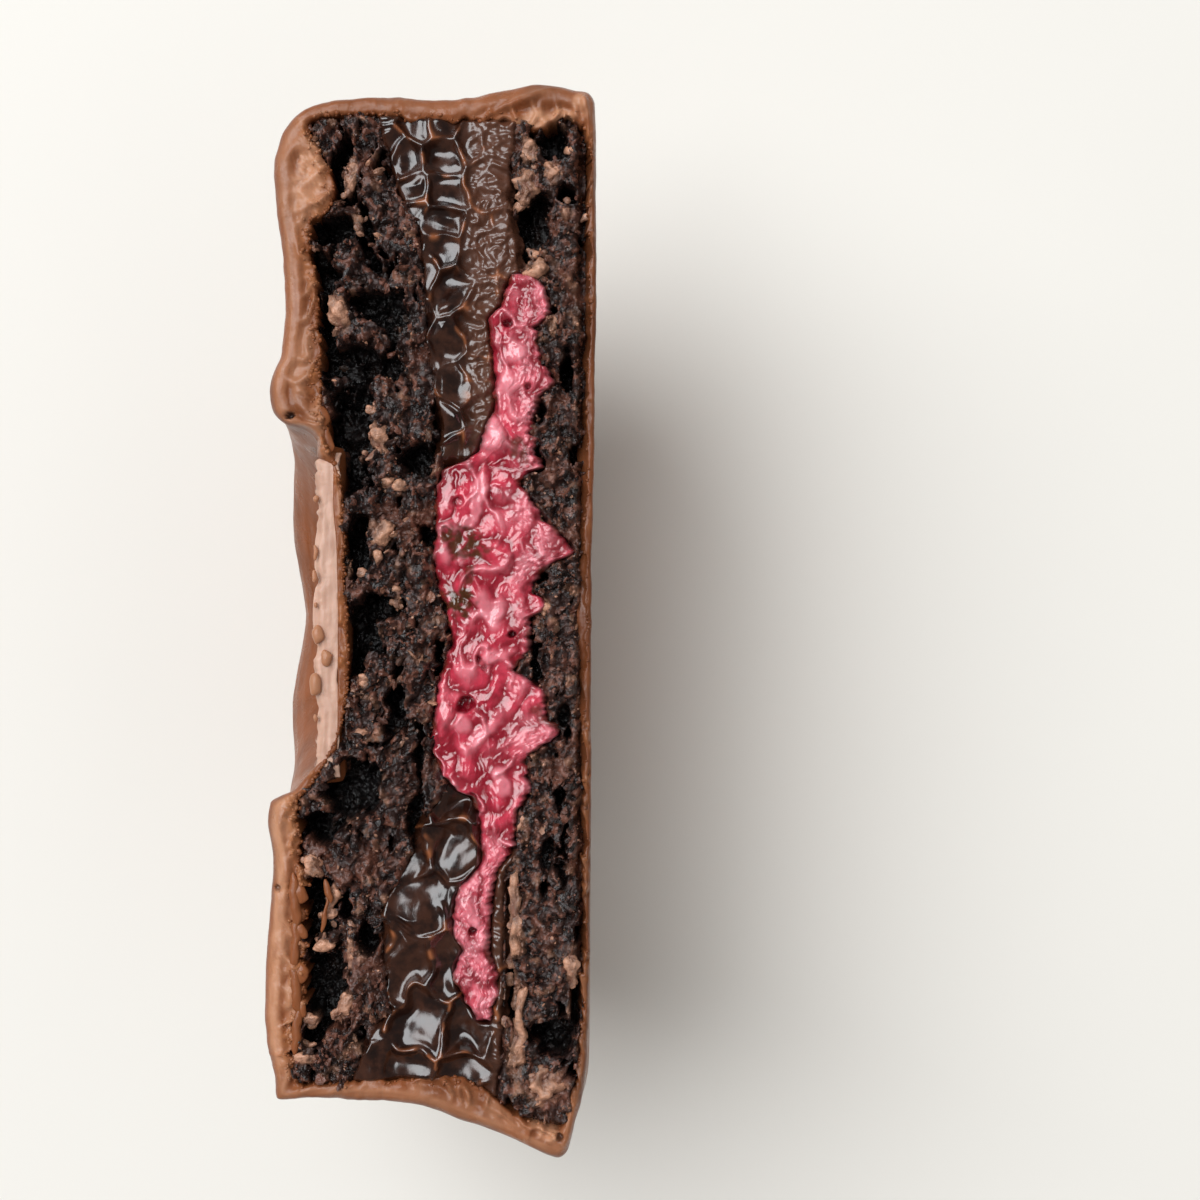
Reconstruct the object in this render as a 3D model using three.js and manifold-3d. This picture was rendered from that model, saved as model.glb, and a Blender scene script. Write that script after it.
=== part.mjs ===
// Half of an alfajor: two dark cocoa biscuits round a ring of soft chocolate filling and a lens of
// berry filling, dipped in chocolate, with a chocolate medallion set in a dimple of its top face.
// It was cut through the middle and stands on its round side with the cut face up.
// Millimetres, +Z up. The whole biscuit's axis runs along X at the height of the cut, with its top
// face towards -X and its base towards +X. The origin is on the floor, under the middle of the part.
import * as THREE from 'three';
import { mergeVertices } from 'three/addons/utils/BufferGeometryUtils.js';
import Module from 'manifold-3d';

const { lerp, smoothstep } = THREE.MathUtils;

// ---- Driving dimensions ----
const AXIS_HEIGHT = 32.1; // the cut face, and the biscuit's axis in it, above the floor
const AXIS_X = -0.1; // puts the middle between the leaning faces over the origin
const AXIS_Y = 0.36; // the same for the two uneven ends
const BASE_X = 9.95; // the flat base, at the axis
const BASE_LEAN = 0.01; // the base moves out by this share of Y
const TOP_X = -9.62; // the top face outside the dimple, at the axis
const TOP_LEAN = 0.016; // the top face leans the same way, so the low end is the thicker one
const SHOULDER_ROUND_HIGH = 2.4; // rounding from the top face into the wall, at the +Y end
const SHOULDER_ROUND_LOW = 1.2; // and at the -Y end
const FOOT_ROUND = 1.1; // rounding from the wall into the base
const WALL_TOP_X = -5.6; // the plain stretch of wall between the two roundings
const WALL_FOOT_X = 8.4;
const COAT_WALL_THICK = 1.35; // the coating's thickness on the wall
const COAT_BASE_THICK = 0.75; // and under the base
const GAP = 0.3; // between neighbouring solids

const DIMPLE_FLOOR_X = -5.8; // where the medallion's back lies
const SEAT_RADIUS = 10.75; // the dimple's floor, a little wider than the medallion
const DIMPLE_RIM_RADIUS = 12.1; // where the dimple's steep side meets its rounded rim
const GROOVE_RADIUS = 13.4; // a shallow groove round the dimple
const GROOVE_DEPTH = 0.28;
const PLATEAU_RADIUS = 15; // the top face is plain from here out

const MEDALLION_RADIUS = 10.3;
const MEDALLION_THICK = 1.35;
const MEDALLION_RIM_WIDE = 1.1;
const MEDALLION_RIM_HIGH = 0.35;
const MEDALLION_EDGE = 0.25; // the rim's rounding
const MEDALLION_LINE_RADIUS = 5.1; // a sunk line round the middle
const MEDALLION_LINE_WIDE = 1;
const MEDALLION_LINE_DEEP = 0.15;

const BERRY_RADIUS_HIGH_END = 21;
const BERRY_RADIUS_LOW_END = 25;
const CORE_INSET = 7; // further in than this from its edge, the berry filling lies on the lower biscuit

// Places along the cut face are measured from the axis. Each list is of [place, value] pairs.
// The wall's radius by x, at the +Y end, at the -Y end and where the part stands.
const WALL_HIGH_END = [
  [-9, 31.6], [-5.3, 31.9], [-2.5, 32.1], [0.5, 31.9], [3.2, 32.1], [6.9, 32.8], [9.9, 32.3],
];
const WALL_LOW_END = [
  [-9.6, 29.7], [-6, 29.9], [-2.4, 30.1], [0.4, 30.8], [3.2, 31.7], [7.6, 33.55], [9.6, 32.9],
];
const WALL_STANDING = [[-9.6, 32.2], [-6, 32.35], [0, 32.4], [6, 32.4], [9.9, 32.2]];
const WALL_WAVES = [ // round the wall, dying out at the cut and where the part stands
  { waves: 3, height: 0.22, turnedBy: 0.6 },
  { waves: 5, height: 0.16, turnedBy: 2.1 },
  { waves: 8, height: 0.1, turnedBy: 4.2 },
];

// The lines between the layers on the cut face, x by y.
const COAT_INSIDE_TOP = [
  [-31, -8.4], [-16, -8.6], [-12.6, -8.1], [-10.5, -5.3], [-5, -5.05], [5, -4.75], [10.5, -5.2],
  [13, -6.7], [24, -7], [31, -6.9],
];
const UPPER_BISCUIT_FACE = [
  [-29, -4.8], [-24, -2.8], [-21, -3], [-16, -1.8], [-10.4, 0.8], [-7.7, 0.15], [-1.6, 1.2], [3.4, 0.3],
  [9, 0.5], [13.3, 0.4], [20.8, -0.5], [25.7, -1.8], [31, -3.3],
];
const LOWER_BISCUIT_FACE = [
  [-30, 4.4], [-26, 4.85], [-16.5, 5], [-11.5, 6], [0, 6.6], [11, 6.6], [20.5, 6.2], [23.3, 5.7],
  [27, 5.3], [31, 5.7],
];
const BERRY_UPPER_FACE = [
  [-25, 3.6], [-23.6, 2.2], [-20, 1.6], [-17.5, 1.5], [-15, 3], [-12.5, 2.9], [-10.4, 0.9],
  [-7.7, 0.25], [-1.6, 1.3], [3.4, 0.4], [9, 0.7], [10.4, 2.8], [13.3, 3.9], [18.3, 3.7], [21, 4.7],
];
const BERRY_LOWER_FACE = [
  [-25, 3.8], [-21.5, 3.9], [-16, 4.5], [-12, 5.8], [-9, 6.4], [-7, 8], [-4.6, 7.1], [-3.2, 5.8],
  [0.9, 7.2], [2.6, 7.2], [4, 8.9], [5.8, 6.9], [8.4, 5.9], [10.9, 6.7], [14.6, 7.8], [16.6, 6.9],
  [18.9, 7.6], [21, 4.9],
];

// Relief of the torn and cut faces: how far each layer stands under the cut, and how rough it is.
const RELIEF = {
  coating: { below: 0, rough: 0.12 },
  upper_biscuit: { below: 0.55, rough: 0.5 },
  chocolate_filling: { below: 0.15, rough: 0.3 },
  berry_filling: { below: 0.1, rough: 0.35 },
  lower_biscuit: { below: 0.5, rough: 0.4 },
  medallion: { below: 0.05, rough: 0.05 },
};
const RELIEF_WAVES = [ // radians for each millimetre along x and y
  { alongX: 1.1, alongY: 2, turnedBy: 0, share: 0.35 },
  { alongX: 2.7, alongY: -0.6, turnedBy: 0.4, share: 0.35 },
  { alongX: 1, alongY: 2.7, turnedBy: 1.1, share: 0.3 },
  { alongX: 0, alongY: 0.4, turnedBy: 4.7, share: 0.4 },
];

// ---- Fineness ----
const AROUND = 40; // steps in a full turn of every turned solid
const LAYER_RINGS = 11; // rings from the axis to the edge of a layer's face
const BERRY_RINGS = 13;
const LAYER_EDGE_STEPS = 5; // steps along the wall, inside the coating
const EDGE_READ_AT = 28; // a face's x at this radius gives the x of its edge
const PAST_WALL = 36; // a radius outside the wall
const KNIFE = { wide: 26, long: 76, top: 40, columns: 7, rows: 22 };
const FLOOR_BLOCK = { wide: 40, long: 80, deep: 20 };

const wasm = await Module();
wasm.setup();

// ---- Lines and fields ----

// The value at t of a smooth line through the stations, each [place, value], in rising order.
function alongStations(stations, t) {
  const last = stations.length - 1;
  if (t <= stations[0][0]) return stations[0][1];
  if (t >= stations[last][0]) return stations[last][1];
  const next = stations.findIndex(([place]) => place > t);
  const [before, valueBefore] = stations[next - 1];
  const [after, valueAfter] = stations[next];
  return lerp(valueBefore, valueAfter, smoothstep(t, before, after));
}

// A line on the cut face carried round the axis, as a function of the radius and the cosine of the
// angle from the +Y end: it goes evenly from its value at the low end to its value at the high end.
function carried(stations, shift = 0) {
  return (radius, toHighEnd) => {
    const low = alongStations(stations, -radius);
    const high = alongStations(stations, radius);
    return shift + lerp(low, high, (1 + toHighEnd) / 2);
  };
}

function wallRadius(x, angle) {
  const toHighEnd = Math.cos(angle);
  const atEnd = toHighEnd ** 2;
  const end = alongStations(toHighEnd > 0 ? WALL_HIGH_END : WALL_LOW_END, x);
  let radius = lerp(alongStations(WALL_STANDING, x), end, atEnd);
  for (const { waves, height, turnedBy } of WALL_WAVES) {
    radius += height * Math.sin(waves * angle + turnedBy) * (1 - atEnd) * Math.abs(toHighEnd);
  }
  return radius;
}

function baseFace(radius, toHighEnd) {
  return BASE_X + BASE_LEAN * radius * toHighEnd;
}

function topFace(radius, toHighEnd) {
  const plateau = TOP_X + TOP_LEAN * radius * toHighEnd;
  if (radius <= SEAT_RADIUS) return DIMPLE_FLOOR_X;
  if (radius <= DIMPLE_RIM_RADIUS) {
    return lerp(DIMPLE_FLOOR_X, plateau, smoothstep(radius, SEAT_RADIUS, DIMPLE_RIM_RADIUS));
  }
  const fromGroove = Math.abs(radius - GROOVE_RADIUS) / (PLATEAU_RADIUS - GROOVE_RADIUS);
  return plateau + GROOVE_DEPTH * Math.max(0, 1 - fromGroove ** 2);
}

// Evenly spaced numbers from first to last, both included.
function spaced(first, last, count) {
  return Array.from({ length: count }, (_, i) => lerp(first, last, i / (count - 1)));
}

// ---- Turned solids ----

// A solid turned about the X axis. The section is a list of functions of the angle, each giving
// [x, radius]: it starts and ends on the axis.
function turned(section) {
  const geometry = new THREE.LatheGeometry(section.map((_, i) => new THREE.Vector2(1 + i, i)), AROUND);
  const position = geometry.getAttribute('position');
  for (let i = 0; i < position.count; i++) {
    const step = Math.floor(i / section.length) % AROUND;
    const angle = (step / AROUND) * 2 * Math.PI;
    const [x, radius] = section[i % section.length](angle);
    position.setXYZ(i, x, radius * Math.cos(angle), radius * Math.sin(angle));
  }
  return asSolid(geometry);
}

function asSolid(geometry) {
  geometry.deleteAttribute('normal');
  geometry.deleteAttribute('uv');
  const merged = mergeVertices(geometry);
  const corners = merged.getIndex().array;
  const triangles = [];
  for (let i = 0; i < corners.length; i += 3) {
    const [a, b, c] = corners.slice(i, i + 3);
    if (a !== b && b !== c && c !== a) triangles.push(a, b, c); // on the axis, a ring is one point
  }
  return new wasm.Manifold(new wasm.Mesh({
    numProp: 3,
    vertProperties: merged.getAttribute('position').array,
    triVerts: new Uint32Array(triangles),
  }));
}

// The whole coated biscuit, before it is cut.
function outerSolid() {
  const facePoint = (radius) => (angle) => [topFace(radius, Math.cos(angle)), radius];
  const section = [
    0, SEAT_RADIUS / 2,
    ...spaced(SEAT_RADIUS, DIMPLE_RIM_RADIUS, 4),
    ...spaced(DIMPLE_RIM_RADIUS, PLATEAU_RADIUS, 5).slice(1),
    ...spaced(PLATEAU_RADIUS, PAST_WALL, 6).slice(1, 3),
  ].map(facePoint);
  for (const turn of spaced(0, Math.PI / 2, 5)) {
    section.push((angle) => {
      const toHighEnd = Math.cos(angle);
      const round = lerp(SHOULDER_ROUND_LOW, SHOULDER_ROUND_HIGH, (1 + toHighEnd) / 2);
      const face = topFace(wallRadius(TOP_X, angle) - round, toHighEnd);
      const x = face + round * (1 - Math.cos(turn));
      return [x, wallRadius(x, angle) - round * (1 - Math.sin(turn))];
    });
  }
  for (const x of spaced(WALL_TOP_X, WALL_FOOT_X, 6)) {
    section.push((angle) => [x, wallRadius(x, angle)]);
  }
  for (const turn of spaced(Math.PI / 8, Math.PI / 2, 3)) {
    section.push((angle) => {
      const base = baseFace(wallRadius(BASE_X, angle), Math.cos(angle));
      const x = base - FOOT_ROUND * (1 - Math.sin(turn));
      return [x, wallRadius(x, angle) - FOOT_ROUND * (1 - Math.cos(turn))];
    });
  }
  for (const radius of [PAST_WALL / 2, 0]) {
    section.push((angle) => [baseFace(radius, Math.cos(angle)), radius]);
  }
  return turned(section);
}

// A solid between two faces, out to an edge. above and below are functions of (radius, toHighEnd)
// that give x, and edge gives the radius from (x, angle). The edge is followed in edgeSteps steps.
function layerSolid(above, below, edge, rings, edgeSteps = 1) {
  const onFace = (face, share) => (angle) => {
    const toHighEnd = Math.cos(angle);
    const radius = share * edge(face(EDGE_READ_AT, toHighEnd), angle);
    return [face(radius, toHighEnd), radius];
  };
  const onEdge = (way) => (angle) => {
    const x = lerp(onFace(above, 1)(angle)[0], onFace(below, 1)(angle)[0], way);
    return [x, edge(x, angle)];
  };
  const shares = spaced(0, 1, rings);
  return turned([
    ...shares.map((share) => onFace(above, share)),
    ...spaced(0, 1, edgeSteps + 1).slice(1, -1).map(onEdge),
    ...shares.reverse().map((share) => onFace(below, share)),
  ]);
}

// All that lies inside the coating, shrunk by inset.
function insideCoat(inset) {
  const base = (radius, toHighEnd) => baseFace(radius, toHighEnd) - COAT_BASE_THICK - inset;
  const edge = (x, angle) => wallRadius(x, angle) - COAT_WALL_THICK - inset;
  return layerSolid(carried(COAT_INSIDE_TOP, inset), base, edge, LAYER_RINGS, LAYER_EDGE_STEPS);
}

// The berry filling's lens, grown by grow at its edge and by thicker on both its faces.
function berryLens(grow, thicker) {
  return layerSolid(
    carried(BERRY_UPPER_FACE, -thicker), carried(BERRY_LOWER_FACE, thicker), berryEdge(grow), BERRY_RINGS);
}

function berryEdge(grow) {
  return (_x, angle) => grow + lerp(BERRY_RADIUS_LOW_END, BERRY_RADIUS_HIGH_END, (1 + Math.cos(angle)) / 2);
}

function medallionSolid() {
  const back = DIMPLE_FLOOR_X - GAP;
  const face = back - MEDALLION_THICK;
  const rimTop = face - MEDALLION_RIM_HIGH;
  const rimInside = MEDALLION_RADIUS - MEDALLION_RIM_WIDE;
  const lineFloor = face + MEDALLION_LINE_DEEP;
  const lineHalf = MEDALLION_LINE_WIDE / 2;
  return turned([
    [face, 0],
    [face, MEDALLION_LINE_RADIUS - lineHalf],
    [lineFloor, MEDALLION_LINE_RADIUS - lineHalf / 2],
    [lineFloor, MEDALLION_LINE_RADIUS + lineHalf / 2],
    [face, MEDALLION_LINE_RADIUS + lineHalf],
    [face, rimInside],
    [rimTop, rimInside + MEDALLION_RIM_HIGH],
    [rimTop, MEDALLION_RADIUS - MEDALLION_EDGE],
    [rimTop + MEDALLION_EDGE, MEDALLION_RADIUS],
    [back, MEDALLION_RADIUS],
    [back, 0],
  ].map((place) => () => place));
}

// ---- The cut and the floor ----

// Everything above the cut for one layer: a block whose underside has that layer's relief.
function knifeFor(layer) {
  const { below, rough } = RELIEF[layer];
  const geometry = new THREE.BoxGeometry(KNIFE.wide, KNIFE.long, 1, KNIFE.columns, KNIFE.rows, 1);
  const position = geometry.getAttribute('position');
  for (let i = 0; i < position.count; i++) {
    const x = position.getX(i);
    const y = position.getY(i);
    let relief = -below;
    for (const { alongX, alongY, turnedBy, share } of RELIEF_WAVES) {
      relief += rough * share * Math.sin(alongX * x + alongY * y + turnedBy);
    }
    position.setZ(i, position.getZ(i) > 0 ? KNIFE.top : relief);
  }
  return asSolid(geometry);
}

// What the round side would sink into: the part stands on the flat spot that this leaves.
function floorBlock() {
  const geometry = new THREE.BoxGeometry(FLOOR_BLOCK.wide, FLOOR_BLOCK.long, FLOOR_BLOCK.deep);
  geometry.translate(0, 0, -AXIS_HEIGHT - FLOOR_BLOCK.deep / 2);
  return asSolid(geometry);
}

// ---- The layers ----

const pastWall = () => PAST_WALL;
const pastTop = () => TOP_X - FOOT_ROUND;
const pastBase = () => BASE_X + FOOT_ROUND;
const upperBiscuitFace = carried(UPPER_BISCUIT_FACE);
const lowerBiscuitFace = carried(LOWER_BISCUIT_FACE);
const aboveUpperFace = carried(UPPER_BISCUIT_FACE, -GAP);
const aboveLowerFace = carried(LOWER_BISCUIT_FACE, -GAP);

const inside = insideCoat(GAP);
const berryRoom = berryLens(GAP, 2 * GAP);
const berryCore = layerSolid(
  carried(BERRY_UPPER_FACE, -2 * GAP), pastBase, berryEdge(-CORE_INSET), BERRY_RINGS);
const upperBiscuit = layerSolid(pastTop, aboveUpperFace, pastWall, LAYER_RINGS);
const fillingBand = layerSolid(upperBiscuitFace, aboveLowerFace, pastWall, LAYER_RINGS);
const lowerBiscuit = layerSolid(lowerBiscuitFace, pastBase, pastWall, LAYER_RINGS);

const LAYERS = {
  coating: {
    solid: outerSolid().subtract(insideCoat(0)),
    finish: { color: 0x8a5740, roughness: 0.42, metalness: 0 },
  },
  upper_biscuit: {
    solid: upperBiscuit.intersect(inside),
    finish: { color: 0x2b1b17, roughness: 0.85, metalness: 0 },
  },
  chocolate_filling: {
    solid: fillingBand.intersect(inside).subtract(berryRoom).subtract(berryCore),
    finish: { color: 0x3a2018, roughness: 0.2, metalness: 0 },
  },
  berry_filling: {
    solid: berryLens(0, 0),
    finish: { color: 0xc64058, roughness: 0.25, metalness: 0 },
  },
  lower_biscuit: {
    solid: lowerBiscuit.intersect(inside).subtract(berryRoom),
    finish: { color: 0x2f201c, roughness: 0.85, metalness: 0 },
  },
  medallion: {
    solid: medallionSolid(),
    finish: { color: 0x7a4630, roughness: 0.4, metalness: 0 },
  },
};

function meshOf(solid, name, finish) {
  const { vertProperties, triVerts } = solid.getMesh();
  const geometry = new THREE.BufferGeometry();
  geometry.setAttribute('position', new THREE.BufferAttribute(vertProperties, 3));
  geometry.setIndex(new THREE.BufferAttribute(triVerts, 1));
  geometry.computeVertexNormals();
  const mesh = new THREE.Mesh(geometry, new THREE.MeshStandardMaterial(finish));
  mesh.name = name;
  return mesh;
}

const part = new THREE.Group();
part.position.set(AXIS_X, AXIS_Y, AXIS_HEIGHT);
const floor = floorBlock();
for (const [name, { solid, finish }] of Object.entries(LAYERS)) {
  part.add(meshOf(solid.subtract(knifeFor(name)).subtract(floor), name, finish));
}

export default part;
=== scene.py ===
"""Half of a chocolate-coated alfajor, standing on its round side with the cut face up.

Every piece is shaped in millimetres in the frame of the cut: x along the biscuit's own axis from its top
face to its base, y along the cut face's long side, and z up from the cut. A finished piece is moved into
the row's frame and scaled to metres in its mesh.
"""
import sys

import logging
import math
from collections.abc import Callable, Sequence
from dataclasses import dataclass
from enum import Enum

import bmesh
import bpy
import numpy as np
from mathutils import Euler, Matrix, Vector


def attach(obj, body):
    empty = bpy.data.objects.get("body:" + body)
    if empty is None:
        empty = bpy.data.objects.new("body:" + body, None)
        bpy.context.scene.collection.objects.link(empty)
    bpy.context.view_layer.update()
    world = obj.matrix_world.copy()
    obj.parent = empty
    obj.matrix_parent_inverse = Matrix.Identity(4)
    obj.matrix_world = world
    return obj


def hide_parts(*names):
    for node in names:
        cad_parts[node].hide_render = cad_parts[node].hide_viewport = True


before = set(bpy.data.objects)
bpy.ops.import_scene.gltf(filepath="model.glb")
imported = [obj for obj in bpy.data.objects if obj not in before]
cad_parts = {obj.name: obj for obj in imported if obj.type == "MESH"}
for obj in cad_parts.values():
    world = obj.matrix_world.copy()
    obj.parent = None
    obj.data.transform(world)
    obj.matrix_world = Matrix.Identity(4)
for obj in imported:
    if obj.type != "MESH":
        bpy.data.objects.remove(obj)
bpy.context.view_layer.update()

log = logging.getLogger("alfajor")

MM = 0.001
AXIS = Vector((-0.1, 0.36, 32.1))  # where the biscuit's axis meets the middle of the cut, in the row's frame
FINENESS = 1.0
QUARTER_TURN = math.pi / 2
WELD = 1e-4  # what lies this close is merged
INSIDE_RADIUS = 31.2  # the coat's outline, from which the layers under it keep their distance
INSIDE_BASE = 9.9
INSIDE_FROM = 0.11  # the sine of the turn at which they have it
TOP_FACE_END = 0.4  # along the way round the cut
END_GUESS = 30  # about how far from the axis the layers reach
GIVE = 0.02  # how far what lies past a limit still stands past it, so that no two vertices meet there
PEAK = 0.7  # nothing stands higher over the cut

Array = np.ndarray
Line = Sequence[tuple[float, float]]


# ---- Numbers: blends, lines through stations, noise and cells ----


def mix(low: Array | float, high: Array | float, share: Array | float) -> Array | float:
    """Blends low into high by share."""
    return low + (high - low) * share


def rise(value: Array, start: float, end: float) -> Array:
    """Goes smoothly from 0 at start to 1 at end."""
    t = np.clip((value - start) / (end - start), 0, 1)
    return t * t * (3 - 2 * t)


def between(value: Array, start: float, full: float, fade: float, end: float) -> Array:
    """Goes smoothly from 0 at start to 1 at full, and back from 1 at fade to 0 at end."""
    return rise(value, start, full) * (1 - rise(value, fade, end))


def band(value: Array, width: float) -> Array:
    """A soft line, 1 where value is 0."""
    return np.exp(-(value / width) ** 2)


def dome(far: Array, reach: float) -> Array:
    """A round lump, from 1 where far is 0 down to 0 at reach."""
    return np.sqrt(np.clip(1 - (far / reach) ** 2, 0, 1))


def rounded(inland: Array, radius: Array | float) -> Array:
    """How far a rounded edge drops: from 1 at the edge to 0 where inland reaches the radius."""
    return 1 - dome(np.clip(1 - inland / radius, 0, 1), 1)


def along(line: Line, place: Array) -> Array:
    """Reads a smooth line.

    Args:
        line: stations of (place, value), in rising order of place.
        place: where to read it. Past the ends, the line keeps its end values.

    Returns:
        The value at each place.
    """
    knots, values = np.array(line, float).T
    rates = np.diff(values) / np.diff(knots)
    before, after = np.append(rates[:1], rates), np.append(rates, rates[-1:])
    turns = before * after <= 0
    slopes = np.where(turns, 0, 2 * before * after / np.where(turns, 1, before + after))
    i = np.clip(np.searchsorted(knots, place) - 1, 0, len(knots) - 2)
    width = knots[i + 1] - knots[i]
    t = np.clip((place - knots[i]) / width, 0, 1)
    pull = t * (1 - t) * width * (slopes[i] * (1 - t) - slopes[i + 1] * t)
    return mix(values[i], values[i + 1], t * t * (3 - 2 * t)) + pull


def scrambled(i: Array, j: Array, k: Array | int, seed: int) -> Array:
    """Gives each whole-numbered place its own fixed number from 0 to 1."""
    mixed = (i * 374761393 + j * 668265263 + k * 1103515245 + seed * 144269504) & 0xFFFFFFFF
    mixed = ((mixed ^ (mixed >> 13)) * 1274126177) & 0xFFFFFFFF
    mixed = ((mixed ^ (mixed >> 15)) * 461845907) & 0xFFFFFFFF
    return ((mixed ^ (mixed >> 16)) & 0xFFFFFF) / 0x1000000


def noise(x: Array, y: Array, size: float, seed: int, z: Array | float = 0.0) -> Array:
    """Smooth gradient noise.

    Args:
        x, y, z: the places to read, in millimetres.
        size: the spacing of its lattice, about the width of one lump.
        seed: picks the pattern.

    Returns:
        Numbers that run about from -1 to 1.
    """
    places = [p / size for p in np.broadcast_arrays(x, y, z)]
    corners = [np.floor(p).astype(np.int64) for p in places]
    inside = [p - c for p, c in zip(places, corners)]
    eased = [t * t * t * (t * (t * 6 - 15) + 10) for t in inside]
    total = np.zeros_like(places[0], dtype=float)
    for corner in range(8):
        step = [corner & 1, corner >> 1 & 1, corner >> 2]
        at = [c + s for c, s in zip(corners, step)]
        turn = scrambled(*at, seed) * 2 * math.pi
        lift = scrambled(*at, seed + 7919) * 2 - 1
        flat = np.sqrt(1 - lift * lift)
        slope = (flat * np.cos(turn) * (inside[0] - step[0])
                 + flat * np.sin(turn) * (inside[1] - step[1]) + lift * (inside[2] - step[2]))
        for ease, s in zip(eased, step):
            slope = slope * (ease if s else 1 - ease)
        total += slope
    return 1.7 * total


def fractal(x: Array, y: Array, size: float, seed: int, octaves: int = 3, z: Array | float = 0.0) -> Array:
    """Adds up octaves of noise, each half as wide and half as strong as the one before."""
    total = np.zeros_like(x, dtype=float)
    for octave in range(octaves):
        total += noise(x, y, size / 2 ** octave, seed + 31 * octave, z) / 2 ** octave
    return total


def warped(x: Array, y: Array, wide: tuple[float, float], fine: tuple[float, float],
           seed: int) -> tuple[Array, Array]:
    """Bends places, so that what is drawn on them wavers.

    Args:
        x, y: the places, in millimetres.
        wide, fine: each how far it bends them and the width of one bend.
        seed: picks the pattern.

    Returns:
        The bent x and y.
    """
    (far, size), (fine_far, fine_size) = wide, fine
    return tuple(place + far * noise(x, y, size, first) + fine_far * noise(x, y, fine_size, first + 1)
                 for place, first in ((x, seed), (y, seed + 2)))


@dataclass
class Cells:
    """The nearest of a field of scattered centres: distances are in cell widths."""

    near: Array
    second: Array
    pick: Array
    off_x: Array
    off_y: Array

    def dome(self, reach: float) -> Array:
        """A round lump on each centre, from 1 down to 0 at reach, with creases between lumps."""
        return dome(self.near, reach)

    def border(self, width: float) -> Array:
        """A thin line, 1 along the borders between cells and 0 inside them."""
        return band(self.second - self.near, width)

    def tilt(self, seed: int) -> Array:
        """Leans each cell its own way, about -0.5 to 0.5 across one cell."""
        turn = scrambled((self.pick * 0xFFFFF).astype(np.int64), np.int64(1), 2, seed) * 2 * math.pi
        return self.off_x * np.cos(turn) + self.off_y * np.sin(turn)


def cells(x: Array, y: Array, size: float, seed: int, stretch: float = 1.0) -> Cells:
    """Scatters cell centres and finds the nearest to each place.

    Args:
        x, y: the places, in millimetres.
        size: the cells' width.
        seed: picks the pattern.
        stretch: how many times as long as wide the cells are, along y.

    Returns:
        The cells, as fields over the places.
    """
    u, v = x / size, y / (size * stretch)
    column, row = np.floor(u).astype(np.int64), np.floor(v).astype(np.int64)
    near = np.full_like(u, 9.0)
    second = np.full_like(u, 9.0)
    pick, off_x, off_y = np.zeros_like(u), np.zeros_like(u), np.zeros_like(u)
    for di in (-1, 0, 1):
        for dj in (-1, 0, 1):
            i, j = column + di, row + dj
            dx = u - (i + 0.1 + 0.8 * scrambled(i, j, 1, seed))
            dy = v - (j + 0.1 + 0.8 * scrambled(i, j, 2, seed))
            far = np.hypot(dx, dy)
            closer = far < near
            second = np.where(closer, near, np.minimum(second, far))
            pick = np.where(closer, scrambled(i, j, 3, seed), pick)
            off_x, off_y = np.where(closer, dx, off_x), np.where(closer, dy, off_y)
            near = np.where(closer, far, near)
    return Cells(near, second, pick, off_x, off_y)


@dataclass(frozen=True)
class Spot:
    """An oval place on the cut face, such as a hole or a pale flake."""

    x: float
    y: float
    across: float
    along: float
    turn: float = 0.0
    strength: float = 1.0

    def mask(self, x: Array, y: Array, ragged: Array, soft: float) -> Array:
        """Goes from 0 outside to the spot's strength inside; ragged moves its edge in and out."""
        cos, sin = math.cos(math.radians(self.turn)), math.sin(math.radians(self.turn))
        dx, dy = x - self.x, y - self.y
        far = np.hypot((dx * cos + dy * sin) / self.across, (dy * cos - dx * sin) / self.along)
        return self.strength * (1 - rise(far + ragged, 1 - soft, 1 + soft))


def spots(*rows: tuple[float, ...]) -> tuple[Spot, ...]:
    """Makes spots of rows of their fields."""
    return tuple(Spot(*row) for row in rows)


def strongest(places: Sequence[Spot], x: Array, y: Array, ragged: Array, soft: float) -> Array:
    """The strongest spot's mask at each place."""
    return np.max([spot.mask(x, y, ragged, soft) for spot in places], axis=0)


# ---- Solids under the cut: a face on the cut, carried round the axis ----

CARRIED = ("side", "own_x", "own_r", "own_z", "far_x", "far_r", "far_z", "way")


@dataclass
class Surface:
    """Places on the cut face, and what the finish reads there."""

    x: Array
    y: Array
    z: Array
    looks: dict[str, Array]


def blank(*looks: str) -> bmesh.types.BMesh:
    """Starts a bmesh whose vertices can carry the named looks."""
    bm = bmesh.new()
    for name in (*CARRIED, *looks):
        bm.verts.layers.float.new(name)
    return bm


def set_places(verts: Sequence[bmesh.types.BMVert], x: Array, y: Array, z: Array) -> None:
    """Moves the vertices to the given places."""
    for vert, place in zip(verts, np.column_stack((x, y, z)).tolist()):
        vert.co = place


def set_values(bm: bmesh.types.BMesh, verts: Sequence[bmesh.types.BMVert],
               values: dict[str, Array | float]) -> None:
    """Writes each named array or number into the float layer of that name."""
    for name, array in values.items():
        layer = bm.verts.layers.float[name]
        for vert, value in zip(verts, np.broadcast_to(array, len(verts)).tolist()):
            vert[layer] = value


def tie_ends(bm: bmesh.types.BMesh, verts: Sequence[bmesh.types.BMVert], own: Surface, far: Surface) -> None:
    """Notes on each vertex its own place on the cut and the one it meets at the far end."""
    set_values(bm, verts, {
        "side": np.sign(own.y), "own_x": own.x, "own_r": np.abs(own.y), "own_z": own.z,
        "far_x": far.x, "far_r": np.abs(far.y), "far_z": far.z,
    })


def steps(count: float) -> int:
    """A number of steps at this fineness."""
    return round(count * FINENESS)


def even_steps(count: float) -> int:
    """An even number of steps at this fineness."""
    return 2 * round(count * FINENESS / 2)


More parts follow.
